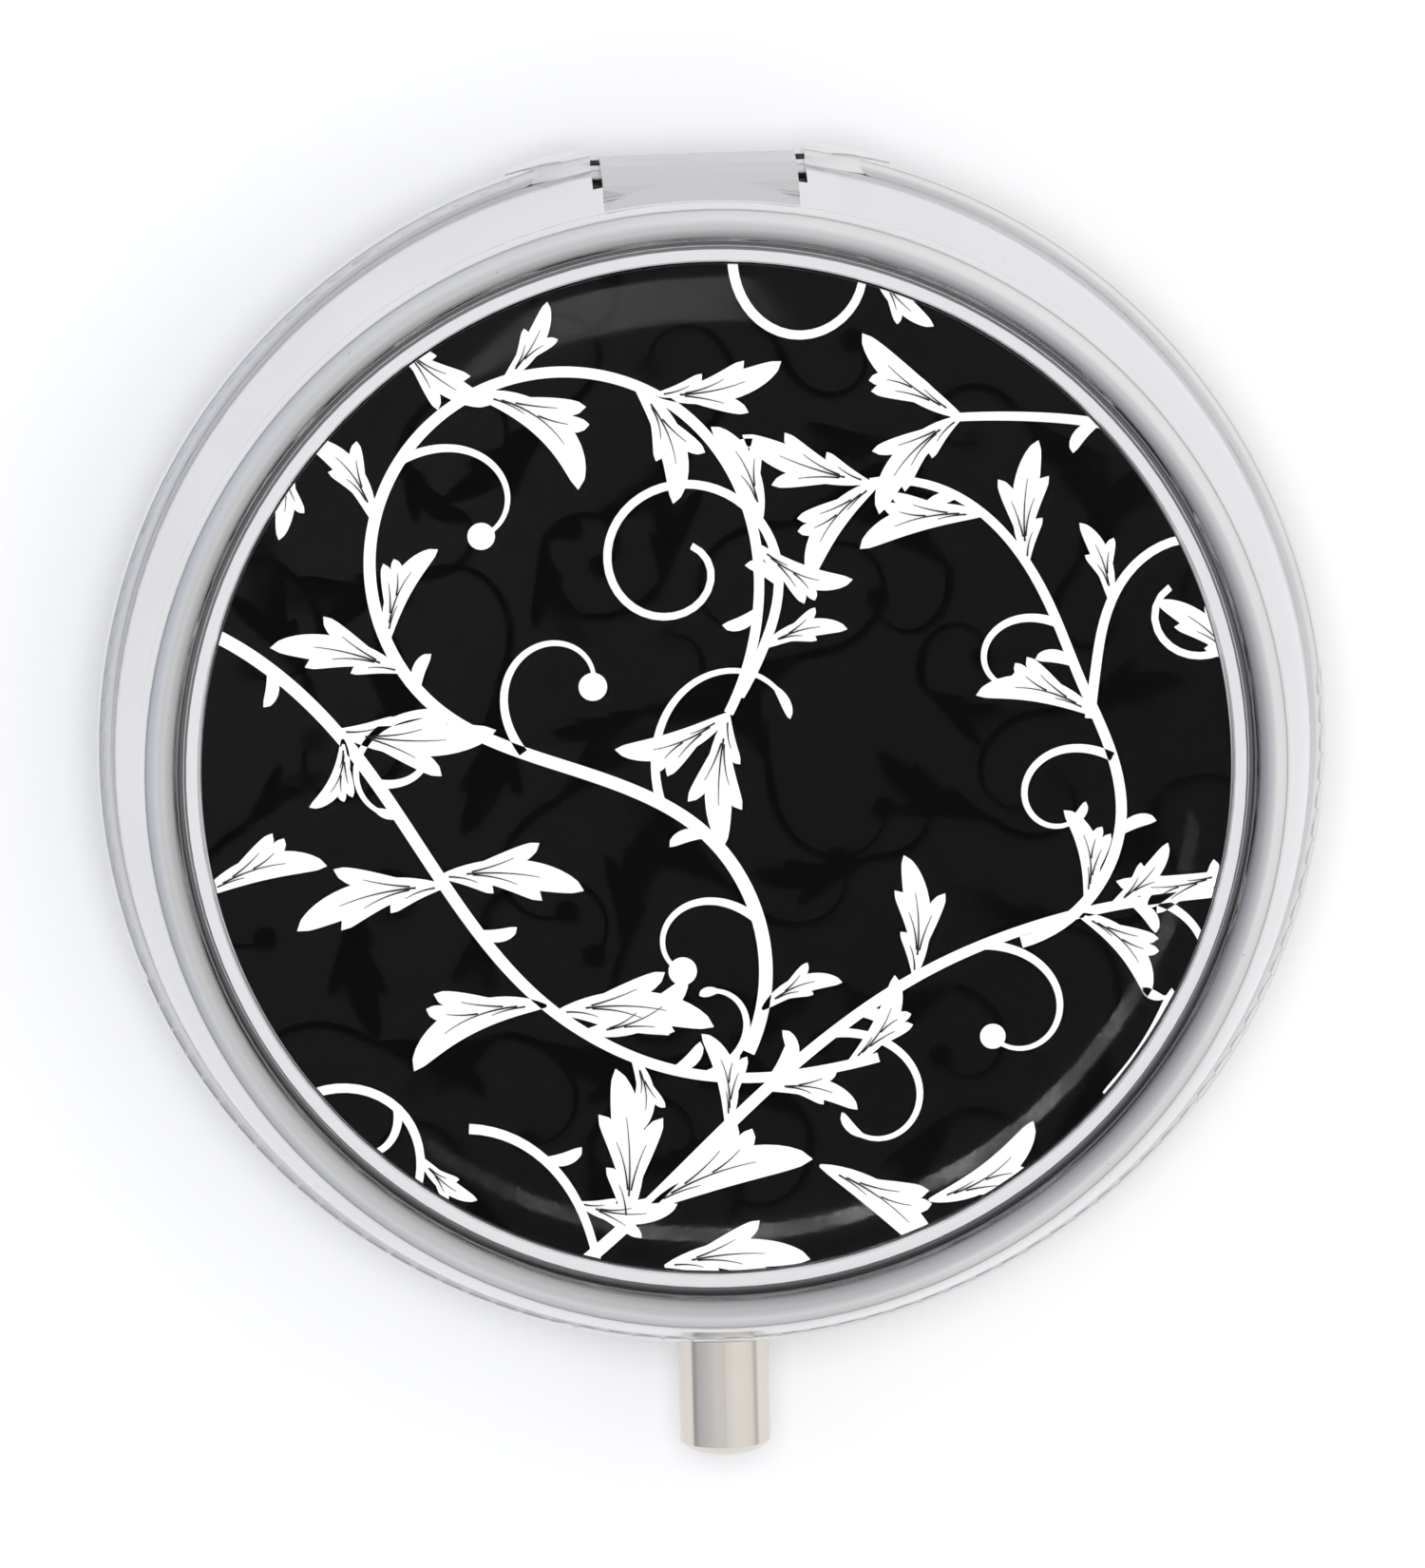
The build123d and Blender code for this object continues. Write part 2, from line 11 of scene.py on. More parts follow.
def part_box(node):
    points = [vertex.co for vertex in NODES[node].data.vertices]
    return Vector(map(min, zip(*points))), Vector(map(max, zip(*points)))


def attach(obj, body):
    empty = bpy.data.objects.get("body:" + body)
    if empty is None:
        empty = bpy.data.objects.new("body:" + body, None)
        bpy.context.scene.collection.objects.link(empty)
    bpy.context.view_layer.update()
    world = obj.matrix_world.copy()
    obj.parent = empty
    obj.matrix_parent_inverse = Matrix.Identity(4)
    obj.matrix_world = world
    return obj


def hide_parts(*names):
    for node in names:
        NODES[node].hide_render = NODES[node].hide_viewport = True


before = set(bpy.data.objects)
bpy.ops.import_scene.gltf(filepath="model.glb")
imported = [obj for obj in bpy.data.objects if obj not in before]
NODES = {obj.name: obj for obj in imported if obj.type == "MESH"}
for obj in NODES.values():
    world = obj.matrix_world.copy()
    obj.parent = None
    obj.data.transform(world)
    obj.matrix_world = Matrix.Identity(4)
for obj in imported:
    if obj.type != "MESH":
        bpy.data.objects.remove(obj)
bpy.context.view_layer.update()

bl_info = {
    "name": "Scroll Pill Box",
    "version": (1, 0, 0),
    "blender": (4, 5, 0),
    "location": "View3D > Sidebar > Pill Box",
    "description": "Finishes a round pill box: polished shells, printed scrolls, clear dome and tray",
    "category": "Object",
}

MM = 0.001
PRINT_LOW, PRINT_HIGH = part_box("print_sheet")
DOME_LOW, DOME_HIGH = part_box("crystal_dome")
PRINT_RADIUS = PRINT_HIGH[0]
PRINT_TOP = PRINT_HIGH[2]
RECESS_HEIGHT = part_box("insert_backing")[0][2] + 0.1 * MM
PARTING_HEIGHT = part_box("pill_tray")[1][2] - 0.35 * MM
# Places on the lid, for its finish and for the painted shade in its groove
LIP_EDGE = PRINT_RADIUS + 0.74 * MM
LIP_COLOUR = (0.90, 0.90, 0.91)
GROOVE_START = PRINT_RADIUS + 0.82 * MM
GROOVE_END = PRINT_RADIUS + 2.1 * MM
LEAF_HALF_WIDTH = 3.97 * MM
LEAF_Y = 23.1 * MM
LEAF_TOP = 13.62 * MM
LEAF_TONE = 0.76
LIP_MATTNESS = 0.35
LEAF_MATTNESS = 0.10
# Depth of the hairlines in the plating
PLATE_RELIEF = 0.003 * MM
PLATE_BUMP = 0.03
# Printed disc: depth of its ground under the film's top, and the colour of the engraved lines
GROUND_DEPTH = 0.02 * MM
LINE_INK = (0.02, 0.02, 0.02)
# Clear dome: stations of its profile, how its edge eases down, and the sharpest edge shaded smooth
DOME_STATIONS = 40
DOME_EASE = 0.9
SMOOTH_LIMIT = math.radians(50)
# Camera and floor. Magnification is size on the sensor over size in the scene.
VIEW_MIDDLE_Y = -1.63 * MM
MAGNIFICATION = 0.5651
FLOOR_HALF = 2.0


# ---------------------------------------------------------------------------------------------
# Sizes and colours that a user would change
# ---------------------------------------------------------------------------------------------


class MetalSettings(PropertyGroup):
    nickel: FloatVectorProperty(
        name="Nickel Colour",
        description="Colour of the polished plating on the shells",
        subtype="COLOR",
        default=(0.71, 0.71, 0.72),
        min=0.0,
        max=1.0,
    )
    button: FloatVectorProperty(
        name="Button Colour",
        description="Colour of the button, a little warmer than the shells",
        subtype="COLOR",
        default=(0.70, 0.66, 0.60),
        min=0.0,
        max=1.0,
    )
    steel: FloatVectorProperty(
        name="Steel Colour",
        description="Colour of the stamped and turned steel inside",
        subtype="COLOR",
        default=(0.56, 0.56, 0.57),
        min=0.0,
        max=1.0,
    )
    polish: FloatProperty(
        name="Polish Roughness",
        description="Roughness of the polished plating before haze and scratches",
        subtype="FACTOR",
        default=0.16,
        min=0.0,
        max=1.0,
    )


class PrintSettings(PropertyGroup):
    ground: FloatVectorProperty(
        name="Ground Colour",
        description="Black of the printed disc",
        subtype="COLOR",
        default=(0.0034, 0.0034, 0.0037),
        min=0.0,
        max=1.0,
    )
    shade: FloatVectorProperty(
        name="Shadow Leaf Colour",
        description="Tone of the faint leaves behind the scrolls",
        subtype="COLOR",
        default=(0.0012, 0.0012, 0.0013),
        min=0.0,
        max=1.0,
    )
    ink: FloatVectorProperty(
        name="Scroll Colour",
        description="White of the scrolls",
        subtype="COLOR",
        default=(0.93, 0.93, 0.92),
        min=0.0,
        max=1.0,
    )
    weight: FloatProperty(
        name="Stem Weight",
        description="Widens or thins the scrolls' main stems",
        subtype="FACTOR",
        default=1.0,
        min=0.5,
        max=1.5,
    )
    relief: FloatProperty(
        name="Ink Relief",
        description="How far each printed layer stands above the one below it",
        subtype="DISTANCE",
        unit="LENGTH",
        default=0.018 * MM,
        min=0.004 * MM,
        max=0.05 * MM,
    )


class DomeSettings(PropertyGroup):
    edge_height: FloatProperty(
        name="Edge Height",
        description="Height of the resin at its edge",
        subtype="DISTANCE",
        unit="LENGTH",
        default=0.22 * MM,
        min=0.05 * MM,
        max=0.6 * MM,
    )
    fullness: FloatProperty(
        name="Fullness",
        description="How flat the dome's middle is and how late it falls to its edge",
        default=7.0,
        min=2.0,
        max=20.0,
    )
    steps: IntProperty(
        name="Steps Round",
        description="Faces round the dome",
        default=192,
        min=48,
        max=512,
    )


class StageSettings(PropertyGroup):
    floor: FloatVectorProperty(
        name="Floor Colour",
        description="Colour of the floor",
        subtype="COLOR",
        default=(0.93, 0.93, 0.93),
        min=0.0,
        max=1.0,
    )
    tilt: FloatProperty(
        name="Camera Tilt",
        description="Camera's lean from straight above towards the hinge",
        subtype="ANGLE",
        unit="ROTATION",
        default=math.radians(12.3),
    )
    lean: FloatProperty(
        name="Camera Lean",
        description="Camera's lean from straight above towards the left",
        subtype="ANGLE",
        unit="ROTATION",
        default=math.radians(2.2),
    )
    roll: FloatProperty(
        name="Camera Roll",
        description="Camera's turn about its own line of sight",
        subtype="ANGLE",
        unit="ROTATION",
        default=math.radians(1.4),
    )
    distance: FloatProperty(
        name="Camera Distance",
        description="From the camera to the middle of its view",
        subtype="DISTANCE",
        unit="LENGTH",
        default=2.0,
    )


# ---------------------------------------------------------------------------------------------
# Material building blocks
# ---------------------------------------------------------------------------------------------


def new_group(name, inputs, outputs):
    """A shader node group with float inputs (name, default) and named float outputs."""
    group = bpy.data.node_groups.new(name, "ShaderNodeTree")
    group.interface.new_socket("Vector", in_out="INPUT", socket_type="NodeSocketVector")
    for label, default in inputs:
        socket = group.interface.new_socket(label, in_out="INPUT", socket_type="NodeSocketFloat")
        socket.default_value = default
    for label in outputs:
        group.interface.new_socket(label, in_out="OUTPUT", socket_type="NodeSocketFloat")
    entry = group.nodes.new("NodeGroupInput")
    leave = group.nodes.new("NodeGroupOutput")
    return group, entry, leave


def add_math(tree, operation, first, second=None, clamp=False):
    """A Math node. Each side is a socket or a number."""
    node = tree.nodes.new("ShaderNodeMath")
    node.operation = operation
    node.use_clamp = clamp
    for slot, value in enumerate((first, second)):
        if value is None:
            continue
        if isinstance(value, (int, float)):
            node.inputs[slot].default_value = value
        else:
            tree.links.new(value, node.inputs[slot])
    return node.outputs[0]


def add_noise(tree, vector, scale, detail=2.0, roughness=0.5, distortion=0.0):
    """A Noise Texture's factor. Scale is a socket or a number."""
    node = tree.nodes.new("ShaderNodeTexNoise")
    tree.links.new(vector, node.inputs["Vector"])
    if isinstance(scale, (int, float)):
        node.inputs["Scale"].default_value = scale
    else:
        tree.links.new(scale, node.inputs["Scale"])
    node.inputs["Detail"].default_value = detail
    node.inputs["Roughness"].default_value = roughness
    node.inputs["Distortion"].default_value = distortion
    return node.outputs["Fac"]


def add_range(tree, value, low, high, to_low=0.0, to_high=1.0):
    """A Map Range node, clamped."""
    node = tree.nodes.new("ShaderNodeMapRange")
    tree.links.new(value, node.inputs["Value"])
    node.inputs["From Min"].default_value = low
    node.inputs["From Max"].default_value = high
    node.inputs["To Min"].default_value = to_low
    node.inputs["To Max"].default_value = to_high
    return node.outputs["Result"]


def stretched(tree, vector, scale, turn):
    """The vector scaled and turned, for streaks that run one way."""
    node = tree.nodes.new("ShaderNodeMapping")
    tree.links.new(vector, node.inputs["Vector"])
    node.inputs["Rotation"].default_value = turn
    node.inputs["Scale"].default_value = scale
    return node.outputs["Vector"]


def build_scratch_group():
    """Hairlines in three directions, and a soft haze, as hand polishing leaves them."""
    group, entry, leave = new_group("Hairline Scratches", [("Fineness", 900.0)], ["Scratches", "Haze"])
    total = None
    for turn in (0.35, 1.3, 2.4):
        lines = stretched(group, entry.outputs["Vector"], (1.0, 0.035, 0.4), (0.2, 0.1, turn))
        noise = add_noise(group, lines, entry.outputs["Fineness"], 3.0, 0.6)
        thin = add_range(group, noise, 0.63, 0.72)
        total = thin if total is None else add_math(group, "MAXIMUM", total, thin)
    broad = add_noise(group, entry.outputs["Vector"], 95.0, 3.0, 0.55, 0.4)
    group.links.new(total, leave.inputs["Scratches"])
    group.links.new(add_range(group, broad, 0.4, 0.72), leave.inputs["Haze"])
    return group


def build_speck_group():
    """Dust and small pits as scattered dots."""
    group, entry, leave = new_group("Dust Specks", [("Density", 700.0), ("Size", 0.08)], ["Specks"])
    cells = group.nodes.new("ShaderNodeTexVoronoi")
    group.links.new(entry.outputs["Vector"], cells.inputs["Vector"])
    group.links.new(entry.outputs["Density"], cells.inputs["Scale"])
    near = add_math(group, "LESS_THAN", cells.outputs["Distance"], entry.outputs["Size"])
    patchy = add_noise(group, entry.outputs["Vector"], 160.0, 1.0)
    dots = add_math(group, "MULTIPLY", near, add_range(group, patchy, 0.5, 0.6))
    group.links.new(dots, leave.inputs["Specks"])
    return group


def build_grain_group():
    """A fine even grain, for moulded plastic, film and paper-like surfaces."""
    group, entry, leave = new_group("Moulded Grain", [("Fineness", 2500.0)], ["Grain", "Drift"])
    fine = add_noise(group, entry.outputs["Vector"], entry.outputs["Fineness"], 2.0, 0.6)
    broad = add_noise(group, entry.outputs["Vector"], 60.0, 2.0, 0.5)
    group.links.new(fine, leave.inputs["Grain"])
    group.links.new(broad, leave.inputs["Drift"])
    return group


def shared_group(name, build):
    """The node group of that name, built where it isn't there yet."""
    return bpy.data.node_groups.get(name) or build()


def new_material(name):
    """A material with its node tree, Principled BSDF and the piece's own coordinates."""
    material = bpy.data.materials.new(name)
    material.use_nodes = True
    tree = material.node_tree
    shader = tree.nodes["Principled BSDF"]
    place = tree.nodes.new("ShaderNodeTexCoord").outputs["Object"]
    return material, tree, shader, place


def use_group(tree, group, vector, **values):
    """Places the group with its own values and gives back its outputs."""
    node = tree.nodes.new("ShaderNodeGroup")
    node.node_tree = group
    tree.links.new(vector, node.inputs["Vector"])
    for label, value in values.items():
        node.inputs[label].default_value = value
    return node.outputs


def mix_colours(tree, factor, first, second):
    """A colour between two, each a socket or three numbers."""
    node = tree.nodes.new("ShaderNodeMix")
    node.data_type = "RGBA"
    tree.links.new(factor, node.inputs["Factor"])
    for label, value in (("A", first), ("B", second)):
        socket = next(s for s in node.inputs if s.name == label and s.type == "RGBA")
        if isinstance(value, bpy.types.NodeSocket):
            tree.links.new(value, socket)
        else:
            socket.default_value = (*value[:3], 1.0)
    return next(s for s in node.outputs if s.type == "RGBA")


def add_bump(tree, shader, height, strength, distance):
    """Raises the shader's surface by the height mask."""
    node = tree.nodes.new("ShaderNodeBump")
    node.inputs["Strength"].default_value = strength
    node.inputs["Distance"].default_value = distance
    tree.links.new(height, node.inputs["Height"])
    tree.links.new(node.outputs["Normal"], shader.inputs["Normal"])


def set_stops(ramp, stops):
    """Gives a colour ramp these (position, brightness) stops."""
    while len(ramp.elements) < len(stops):
        ramp.elements.new(0.5)
    for element, (position, value) in zip(ramp.elements, stops):
        element.position = position
        element.color = (value, value, value, 1.0)


def scaled(colour, factor):
    """The colour made darker or lighter."""
    return tuple(channel * factor for channel in colour)


# ---------------------------------------------------------------------------------------------
# Materials
# ---------------------------------------------------------------------------------------------


def add_plating(tree, place, colour, polish, haze, scratch):
    """Colour, roughness and bump height of plated metal with faint haze and hairlines."""
    marks = use_group(tree, shared_group("Hairline Scratches", build_scratch_group), place, Fineness=850.0)
    specks = use_group(tree, shared_group("Dust Specks", build_speck_group), place, Density=900.0, Size=0.05)
    dull = mix_colours(tree, marks["Haze"], colour, scaled(colour, 0.955))
    worn = mix_colours(tree, specks["Specks"], dull, scaled(colour, 0.8))
    hazy = add_math(tree, "MULTIPLY", marks["Haze"], haze)
    scratched = add_math(tree, "MULTIPLY", marks["Scratches"], scratch)
    rough = add_math(tree, "ADD", add_math(tree, "ADD", hazy, scratched), polish, clamp=True)
    return worn, rough, marks["Scratches"]


def polished_metal(name, colour, polish, haze=0.05, scratch=0.05):
    """Plated metal with a soft mirror polish."""
    material, tree, shader, place = new_material(name)
    worn, rough, lines = add_plating(tree, place, colour, polish, haze, scratch)
    shader.inputs["Metallic"].default_value = 1.0
    tree.links.new(worn, shader.inputs["Base Color"])
    tree.links.new(rough, shader.inputs["Roughness"])
    add_bump(tree, shader, lines, PLATE_BUMP, PLATE_RELIEF)
    return material


# Painted shade in the groove between lip and bezel, which darkens the plating there: share of the way across,
# and brightness left there.
GROOVE_SHADE_STOPS = ((0.0, 0.20), (0.08, 0.24), (0.30, 0.52), (0.48, 0.66), (0.64, 0.86), (0.80, 1.0))


def lid_plating(name, colour, polish):
    """Plated metal of the lid: matt pale lip, a groove darkened by painted shade, satin hinge leaf."""
    material, tree, shader, place = new_material(name)
    worn, rough, lines = add_plating(tree, place, colour, polish, 0.05, 0.05)
    axes = tree.nodes.new("ShaderNodeSeparateXYZ")
    tree.links.new(place, axes.inputs[0])
    outward = tree.nodes.new("ShaderNodeVectorMath")
    outward.operation = "LENGTH"
    tree.links.new(stretched(tree, place, (1.0, 1.0, 0.0), (0.0, 0.0, 0.0)), outward.inputs[0])
    radius = outward.outputs["Value"]
    top_side = add_math(tree, "GREATER_THAN", axes.outputs["Z"], RECESS_HEIGHT)

    # Painted shade: the plating is darkened across the groove, on the top side only
    groove = tree.nodes.new("ShaderNodeValToRGB")
    tree.links.new(add_range(tree, radius, GROOVE_START, GROOVE_END), groove.inputs["Fac"])
    set_stops(groove.color_ramp, GROOVE_SHADE_STOPS)
    left = add_math(tree, "SUBTRACT", 1.0, groove.outputs["Color"])
    groove_shade = add_math(tree, "MULTIPLY", left, top_side)
    groove_shaded = mix_colours(tree, groove_shade, worn, (0.0, 0.0, 0.0))

    on_lip = add_math(tree, "MULTIPLY", add_math(tree, "LESS_THAN", radius, LIP_EDGE), top_side)
    lipped = mix_colours(tree, on_lip, groove_shaded, LIP_COLOUR)
    sideways = add_math(tree, "LESS_THAN", add_math(tree, "ABSOLUTE", axes.outputs["X"]), LEAF_HALF_WIDTH)
    behind = add_math(tree, "GREATER_THAN", axes.outputs["Y"], LEAF_Y)
    low = add_math(tree, "LESS_THAN", axes.outputs["Z"], LEAF_TOP)
    on_leaf = add_math(tree, "MULTIPLY", add_math(tree, "MULTIPLY", sideways, behind), low)
    leafed = mix_colours(tree, on_leaf, lipped, scaled(colour, LEAF_TONE))
    tree.links.new(leafed, shader.inputs["Base Color"])

    matt = add_math(tree, "ADD", rough, add_math(tree, "MULTIPLY", on_lip, LIP_MATTNESS))
    leaf_matt = add_math(tree, "MULTIPLY", on_leaf, LEAF_MATTNESS)
    satin = add_math(tree, "ADD", matt, leaf_matt, clamp=True)
    tree.links.new(satin, shader.inputs["Roughness"])
    shader.inputs["Metallic"].default_value = 1.0
    add_bump(tree, shader, lines, PLATE_BUMP, PLATE_RELIEF)
    return material


def stamped_steel(name, colour, rough):
    """Bare steel with drawing lines along one way and small pits."""
    material, tree, shader, place = new_material(name)
    marks = use_group(tree, shared_group("Hairline Scratches", build_scratch_group), place, Fineness=1600.0)
    specks = use_group(tree, shared_group("Dust Specks", build_speck_group), place, Density=1800.0, Size=0.12)
    shader.inputs["Metallic"].default_value = 1.0
    toned = mix_colours(tree, marks["Haze"], colour, scaled(colour, 0.78))
    pitted = mix_colours(tree, specks["Specks"], toned, scaled(colour, 0.55))
    tree.links.new(pitted, shader.inputs["Base Color"])
    lined = add_math(tree, "MULTIPLY", marks["Scratches"], 0.16)
    tree.links.new(add_math(tree, "ADD", lined, rough, clamp=True), shader.inputs["Roughness"])
    add_bump(tree, shader, marks["Scratches"], 0.25, 0.01 * MM)
    return material


def silvered_glass(name):
    """Mirror: almost perfect, with a little dust and a wiped haze."""
    material, tree, shader, place = new_material(name)
    marks = use_group(tree, shared_group("Hairline Scratches", build_scratch_group), place, Fineness=600.0)
    specks = use_group(tree, shared_group("Dust Specks", build_speck_group), place, Density=500.0, Size=0.06)
    shader.inputs["Metallic"].default_value = 1.0
    toned = mix_colours(tree, specks["Specks"], (0.88, 0.90, 0.90), (0.7, 0.7, 0.69))
    tree.links.new(toned, shader.inputs["Base Color"])
    wiped = add_math(tree, "MULTIPLY", marks["Haze"], 0.03)
    tree.links.new(add_math(tree, "ADD", wiped, 0.015, clamp=True), shader.inputs["Roughness"])
    return material


def moulded_plastic(name, colour, rough):
    """Satin plastic with fine grain and a slow drift of tone."""
    material, tree, shader, place = new_material(name)
    grain = use_group(tree, shared_group("Moulded Grain", build_grain_group), place, Fineness=2600.0)
    specks = use_group(tree, shared_group("Dust Specks", build_speck_group), place, Density=600.0, Size=0.05)
    toned = mix_colours(tree, grain["Drift"], colour, scaled(colour, 0.94))
    dusty = mix_colours(tree, specks["Specks"], toned, scaled(colour, 0.72))
    tree.links.new(dusty, shader.inputs["Base Color"])
    satin = add_range(tree, grain["Grain"], 0.3, 0.7, rough - 0.05, rough + 0.06)
    tree.links.new(satin, shader.inputs["Roughness"])
    add_bump(tree, shader, grain["Grain"], 0.25, 0.012 * MM)
    return material


def adhesive_film(name, colour):
    """Pale glue film with small bubbles."""
    material, tree, shader, place = new_material(name)
    grain = use_group(tree, shared_group("Moulded Grain", build_grain_group), place, Fineness=900.0)
    bubbles = use_group(tree, shared_group("Dust Specks", build_speck_group), place, Density=420.0, Size=0.2)
    toned = mix_colours(tree, grain["Grain"], colour, scaled(colour, 0.86))
    blistered = mix_colours(tree, bubbles["Specks"], toned, scaled(colour, 0.7))
    tree.links.new(blistered, shader.inputs["Base Color"])
    shader.inputs["Roughness"].default_value = 0.55
    add_bump(tree, shader, grain["Grain"], 0.3, 0.02 * MM)
    return material


def printed_ground(name, colour):
    """Black printed film: a fade towards the front right, slow blotches and a fine film grain."""
    material, tree, shader, place = new_material(name)
    axes = tree.nodes.new("ShaderNodeSeparateXYZ")
    tree.links.new(place, axes.inputs[0])
    across = add_math(tree, "SUBTRACT", axes.outputs["Y"], axes.outputs["X"])
    fade = add_range(tree, across, -16 * MM, 24 * MM, 0.15, 1.0)
    grain = use_group(tree, shared_group("Moulded Grain", build_grain_group), place, Fineness=5200.0)
    faded = mix_colours(tree, fade, scaled(colour, 0.2), scaled(colour, 1.5))
    toned = mix_colours(tree, add_range(tree, grain["Drift"], 0.35, 0.7), faded, scaled(colour, 0.7))
    grained = mix_colours(tree, add_range(tree, grain["Grain"], 0.5, 0.9), toned, scaled(colour, 1.7))
    tree.links.new(grained, shader.inputs["Base Color"])
    shader.inputs["Roughness"].default_value = 0.6
    shader.inputs["Specular IOR Level"].default_value = 0.0
    return material


def printed_ink(name, colour, shade):
    """Flat printed ink with a slight unevenness of cover."""
    material, tree, shader, place = new_material(name)
    grain = use_group(tree, shared_group("Moulded Grain", build_grain_group), place, Fineness=3800.0)
    toned = mix_colours(tree, add_range(tree, grain["Grain"], 0.5, 0.78), colour, scaled(colour, shade))
    tree.links.new(toned, shader.inputs["Base Color"])
    shader.inputs["Roughness"].default_value = 0.6
    shader.inputs["Specular IOR Level"].default_value = 0.0
    return material


def clear_resin(name):
    """Cast resin, which lets lamps through to the print below it. It bends and mirrors light less
    than real resin does, so that the studio doesn't grey the print."""
    material, tree, shader, place = new_material(name)
    marks = use_group(tree, shared_group("Hairline Scratches", build_scratch_group), place, Fineness=500.0)
    shader.inputs["Base Color"].default_value = (1.0, 1.0, 1.0, 1.0)
    shader.inputs["Transmission Weight"].default_value = 1.0
    shader.inputs["IOR"].default_value = 1.13
    smeared = add_math(tree, "MULTIPLY", marks["Haze"], 0.03)
    tree.links.new(add_math(tree, "ADD", smeared, 0.05, clamp=True), shader.inputs["Roughness"])
    clear = tree.nodes.new("ShaderNodeBsdfTransparent")
    rays = tree.nodes.new("ShaderNodeLightPath")
    either = add_math(tree, "MAXIMUM", rays.outputs["Is Shadow Ray"], rays.outputs["Is Diffuse Ray"])
    mix = tree.nodes.new("ShaderNodeMixShader")
    tree.links.new(either, mix.inputs["Fac"])
    tree.links.new(shader.outputs["BSDF"], mix.inputs[1])
    tree.links.new(clear.outputs["BSDF"], mix.inputs[2])
    tree.links.new(mix.outputs["Shader"], tree.nodes["Material Output"].inputs["Surface"])
    return material


def floor_surface(name, colour):
    """Plain matt paper."""
    material, tree, shader, place = new_material(name)
    grain = use_group(tree, shared_group("Moulded Grain", build_grain_group), place, Fineness=400.0)
    toned = mix_colours(tree, grain["Drift"], colour, scaled(colour, 0.99))
    tree.links.new(toned, shader.inputs["Base Color"])
    shader.inputs["Roughness"].default_value = 0.7
    shader.inputs["Specular IOR Level"].default_value = 0.2
    return material


# ---------------------------------------------------------------------------------------------
# Pieces
# ---------------------------------------------------------------------------------------------


def finish_node(node, material):
    """Gives a CAD node its material."""
    mesh = NODES[node].data
    mesh.materials.clear()
    mesh.materials.append(material)


def new_piece(name, bm, body, materials, stands_for=()):
    """Makes the piece from its bmesh, hangs it on the body it rides on, and hides the CAD parts it stands
    for.
    """
    mesh = bpy.data.meshes.new(name)
    bm.to_mesh(mesh)
    bm.free()
    for material in materials:
        mesh.materials.append(material)
    piece = bpy.data.objects.new(name, mesh)
    bpy.context.scene.collection.objects.link(piece)
    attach(piece, body)
    if stands_for:
        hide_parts(*stands_for)


# Scroll drawing. All of it lies in the print's plane, in millimetres from the disc's centre, with
# +Y towards the hinge. A line is a list of stations (x, y, heading in radians).

# Strokes take turns at LAYERS heights, which are LAYER_STEP apart.
LAYERS = 12
LAYER_STEP = 0.0014
LEAF_STATIONS = 16
LOBE_STATIONS = 12
BALL_SIDES = 28
THORN_LENGTH = 1.7
THORN_WIDTH = 0.46
THORN_ANGLE = 30
THORN_TURN = 70
# Faint leaves behind the scrolls
SHADOW_COUNT = 44
SHADOW_REACH = 20.5
SHADOW_SEED = 7
GOLDEN_ANGLE = math.pi * (3 - math.sqrt(5))
# The ink stops INK_MARGIN short of the disc's edge, where DISC_CUTS straight cuts clip it.
INK_MARGIN = 0.05
DISC_CUTS = 120


class Pen:
    """Lays flat strokes, each at another hair of height than its neighbours, so none lie level."""

    def __init__(self):
        self.bm = bmesh.new()
        self.count = 0

    def lift(self):
        self.count += 1
        return self.count % LAYERS * LAYER_STEP

    def stroke(self, stations, half_width):
        """A band along the stations. Its half width is a function of the share along it."""
        count = len(stations) - 1
        lift = self.lift()
        made = bmesh.ops.create_grid(self.bm, x_segments=count, y_segments=1, size=1.0)
        for vert in made["verts"]:
            place = round((vert.co.x + 1.0) / 2.0 * count)
            x, y, angle = stations[place]
            side = vert.co.y * half_width(place / count)
            vert.co = Vector((x - side * math.sin(angle), y + side * math.cos(angle), lift))

    def ball(self, centre, radius):
        made = bmesh.ops.create_circle(self.bm, cap_ends=True, segments=BALL_SIDES, radius=radius)
        bmesh.ops.translate(self.bm, verts=made["verts"], vec=(*centre, self.lift()))


def walk(start, heading, length, turn, tighten=0.0, steps=14):
    """A line that leaves start at heading and turns by turn, both in degrees, over its length.
    Tighten above 0 puts more of the turn near the end, so that the line rolls up."""
    x, y = start
    angle = math.radians(heading)
    step = length / steps
    stations = [(x, y, angle)]
    weights = [1.0 + tighten * (i + 0.5) / steps for i in range(steps)]
    for weight in weights:
        half = math.radians(turn) * weight / sum(weights) / 2
        angle += half
        x += step * math.cos(angle)
        y += step * math.sin(angle)
        angle += half
        stations.append((x, y, angle))
    return stations


def sweep(start, heading, bends):
    """A line of bends (length, turn in degrees) whose curvature changes evenly between them."""
    x, y = start
    angle = math.radians(heading)
    stations = [(x, y, angle)]
    rates = [math.radians(turn) / length for length, turn in bends]
    for before, rate, after, (length, _) in zip([rates[0], *rates], rates, [*rates[1:], rates[-1]], bends):
        first = (before + rate) / 2
        last = (after + rate) / 2
        middle = 2 * rate - (first + last) / 2
        steps = max(4, round(length * 2.2))
        step = length / steps
        for i in range(steps):
            t = (i + 0.5) / steps * 2
            here = first + (middle - first) * t if t < 1 else middle + (last - middle) * (t - 1)
            angle += here * step / 2
            x += step * math.cos(angle)
            y += step * math.sin(angle)
            angle += here * step / 2
            stations.append((x, y, angle))
    return stations


def taper(thick, thin):
    """Half width of a line that goes evenly from one full width to the other."""
    return lambda t: (thick + (thin - thick) * t) / 2


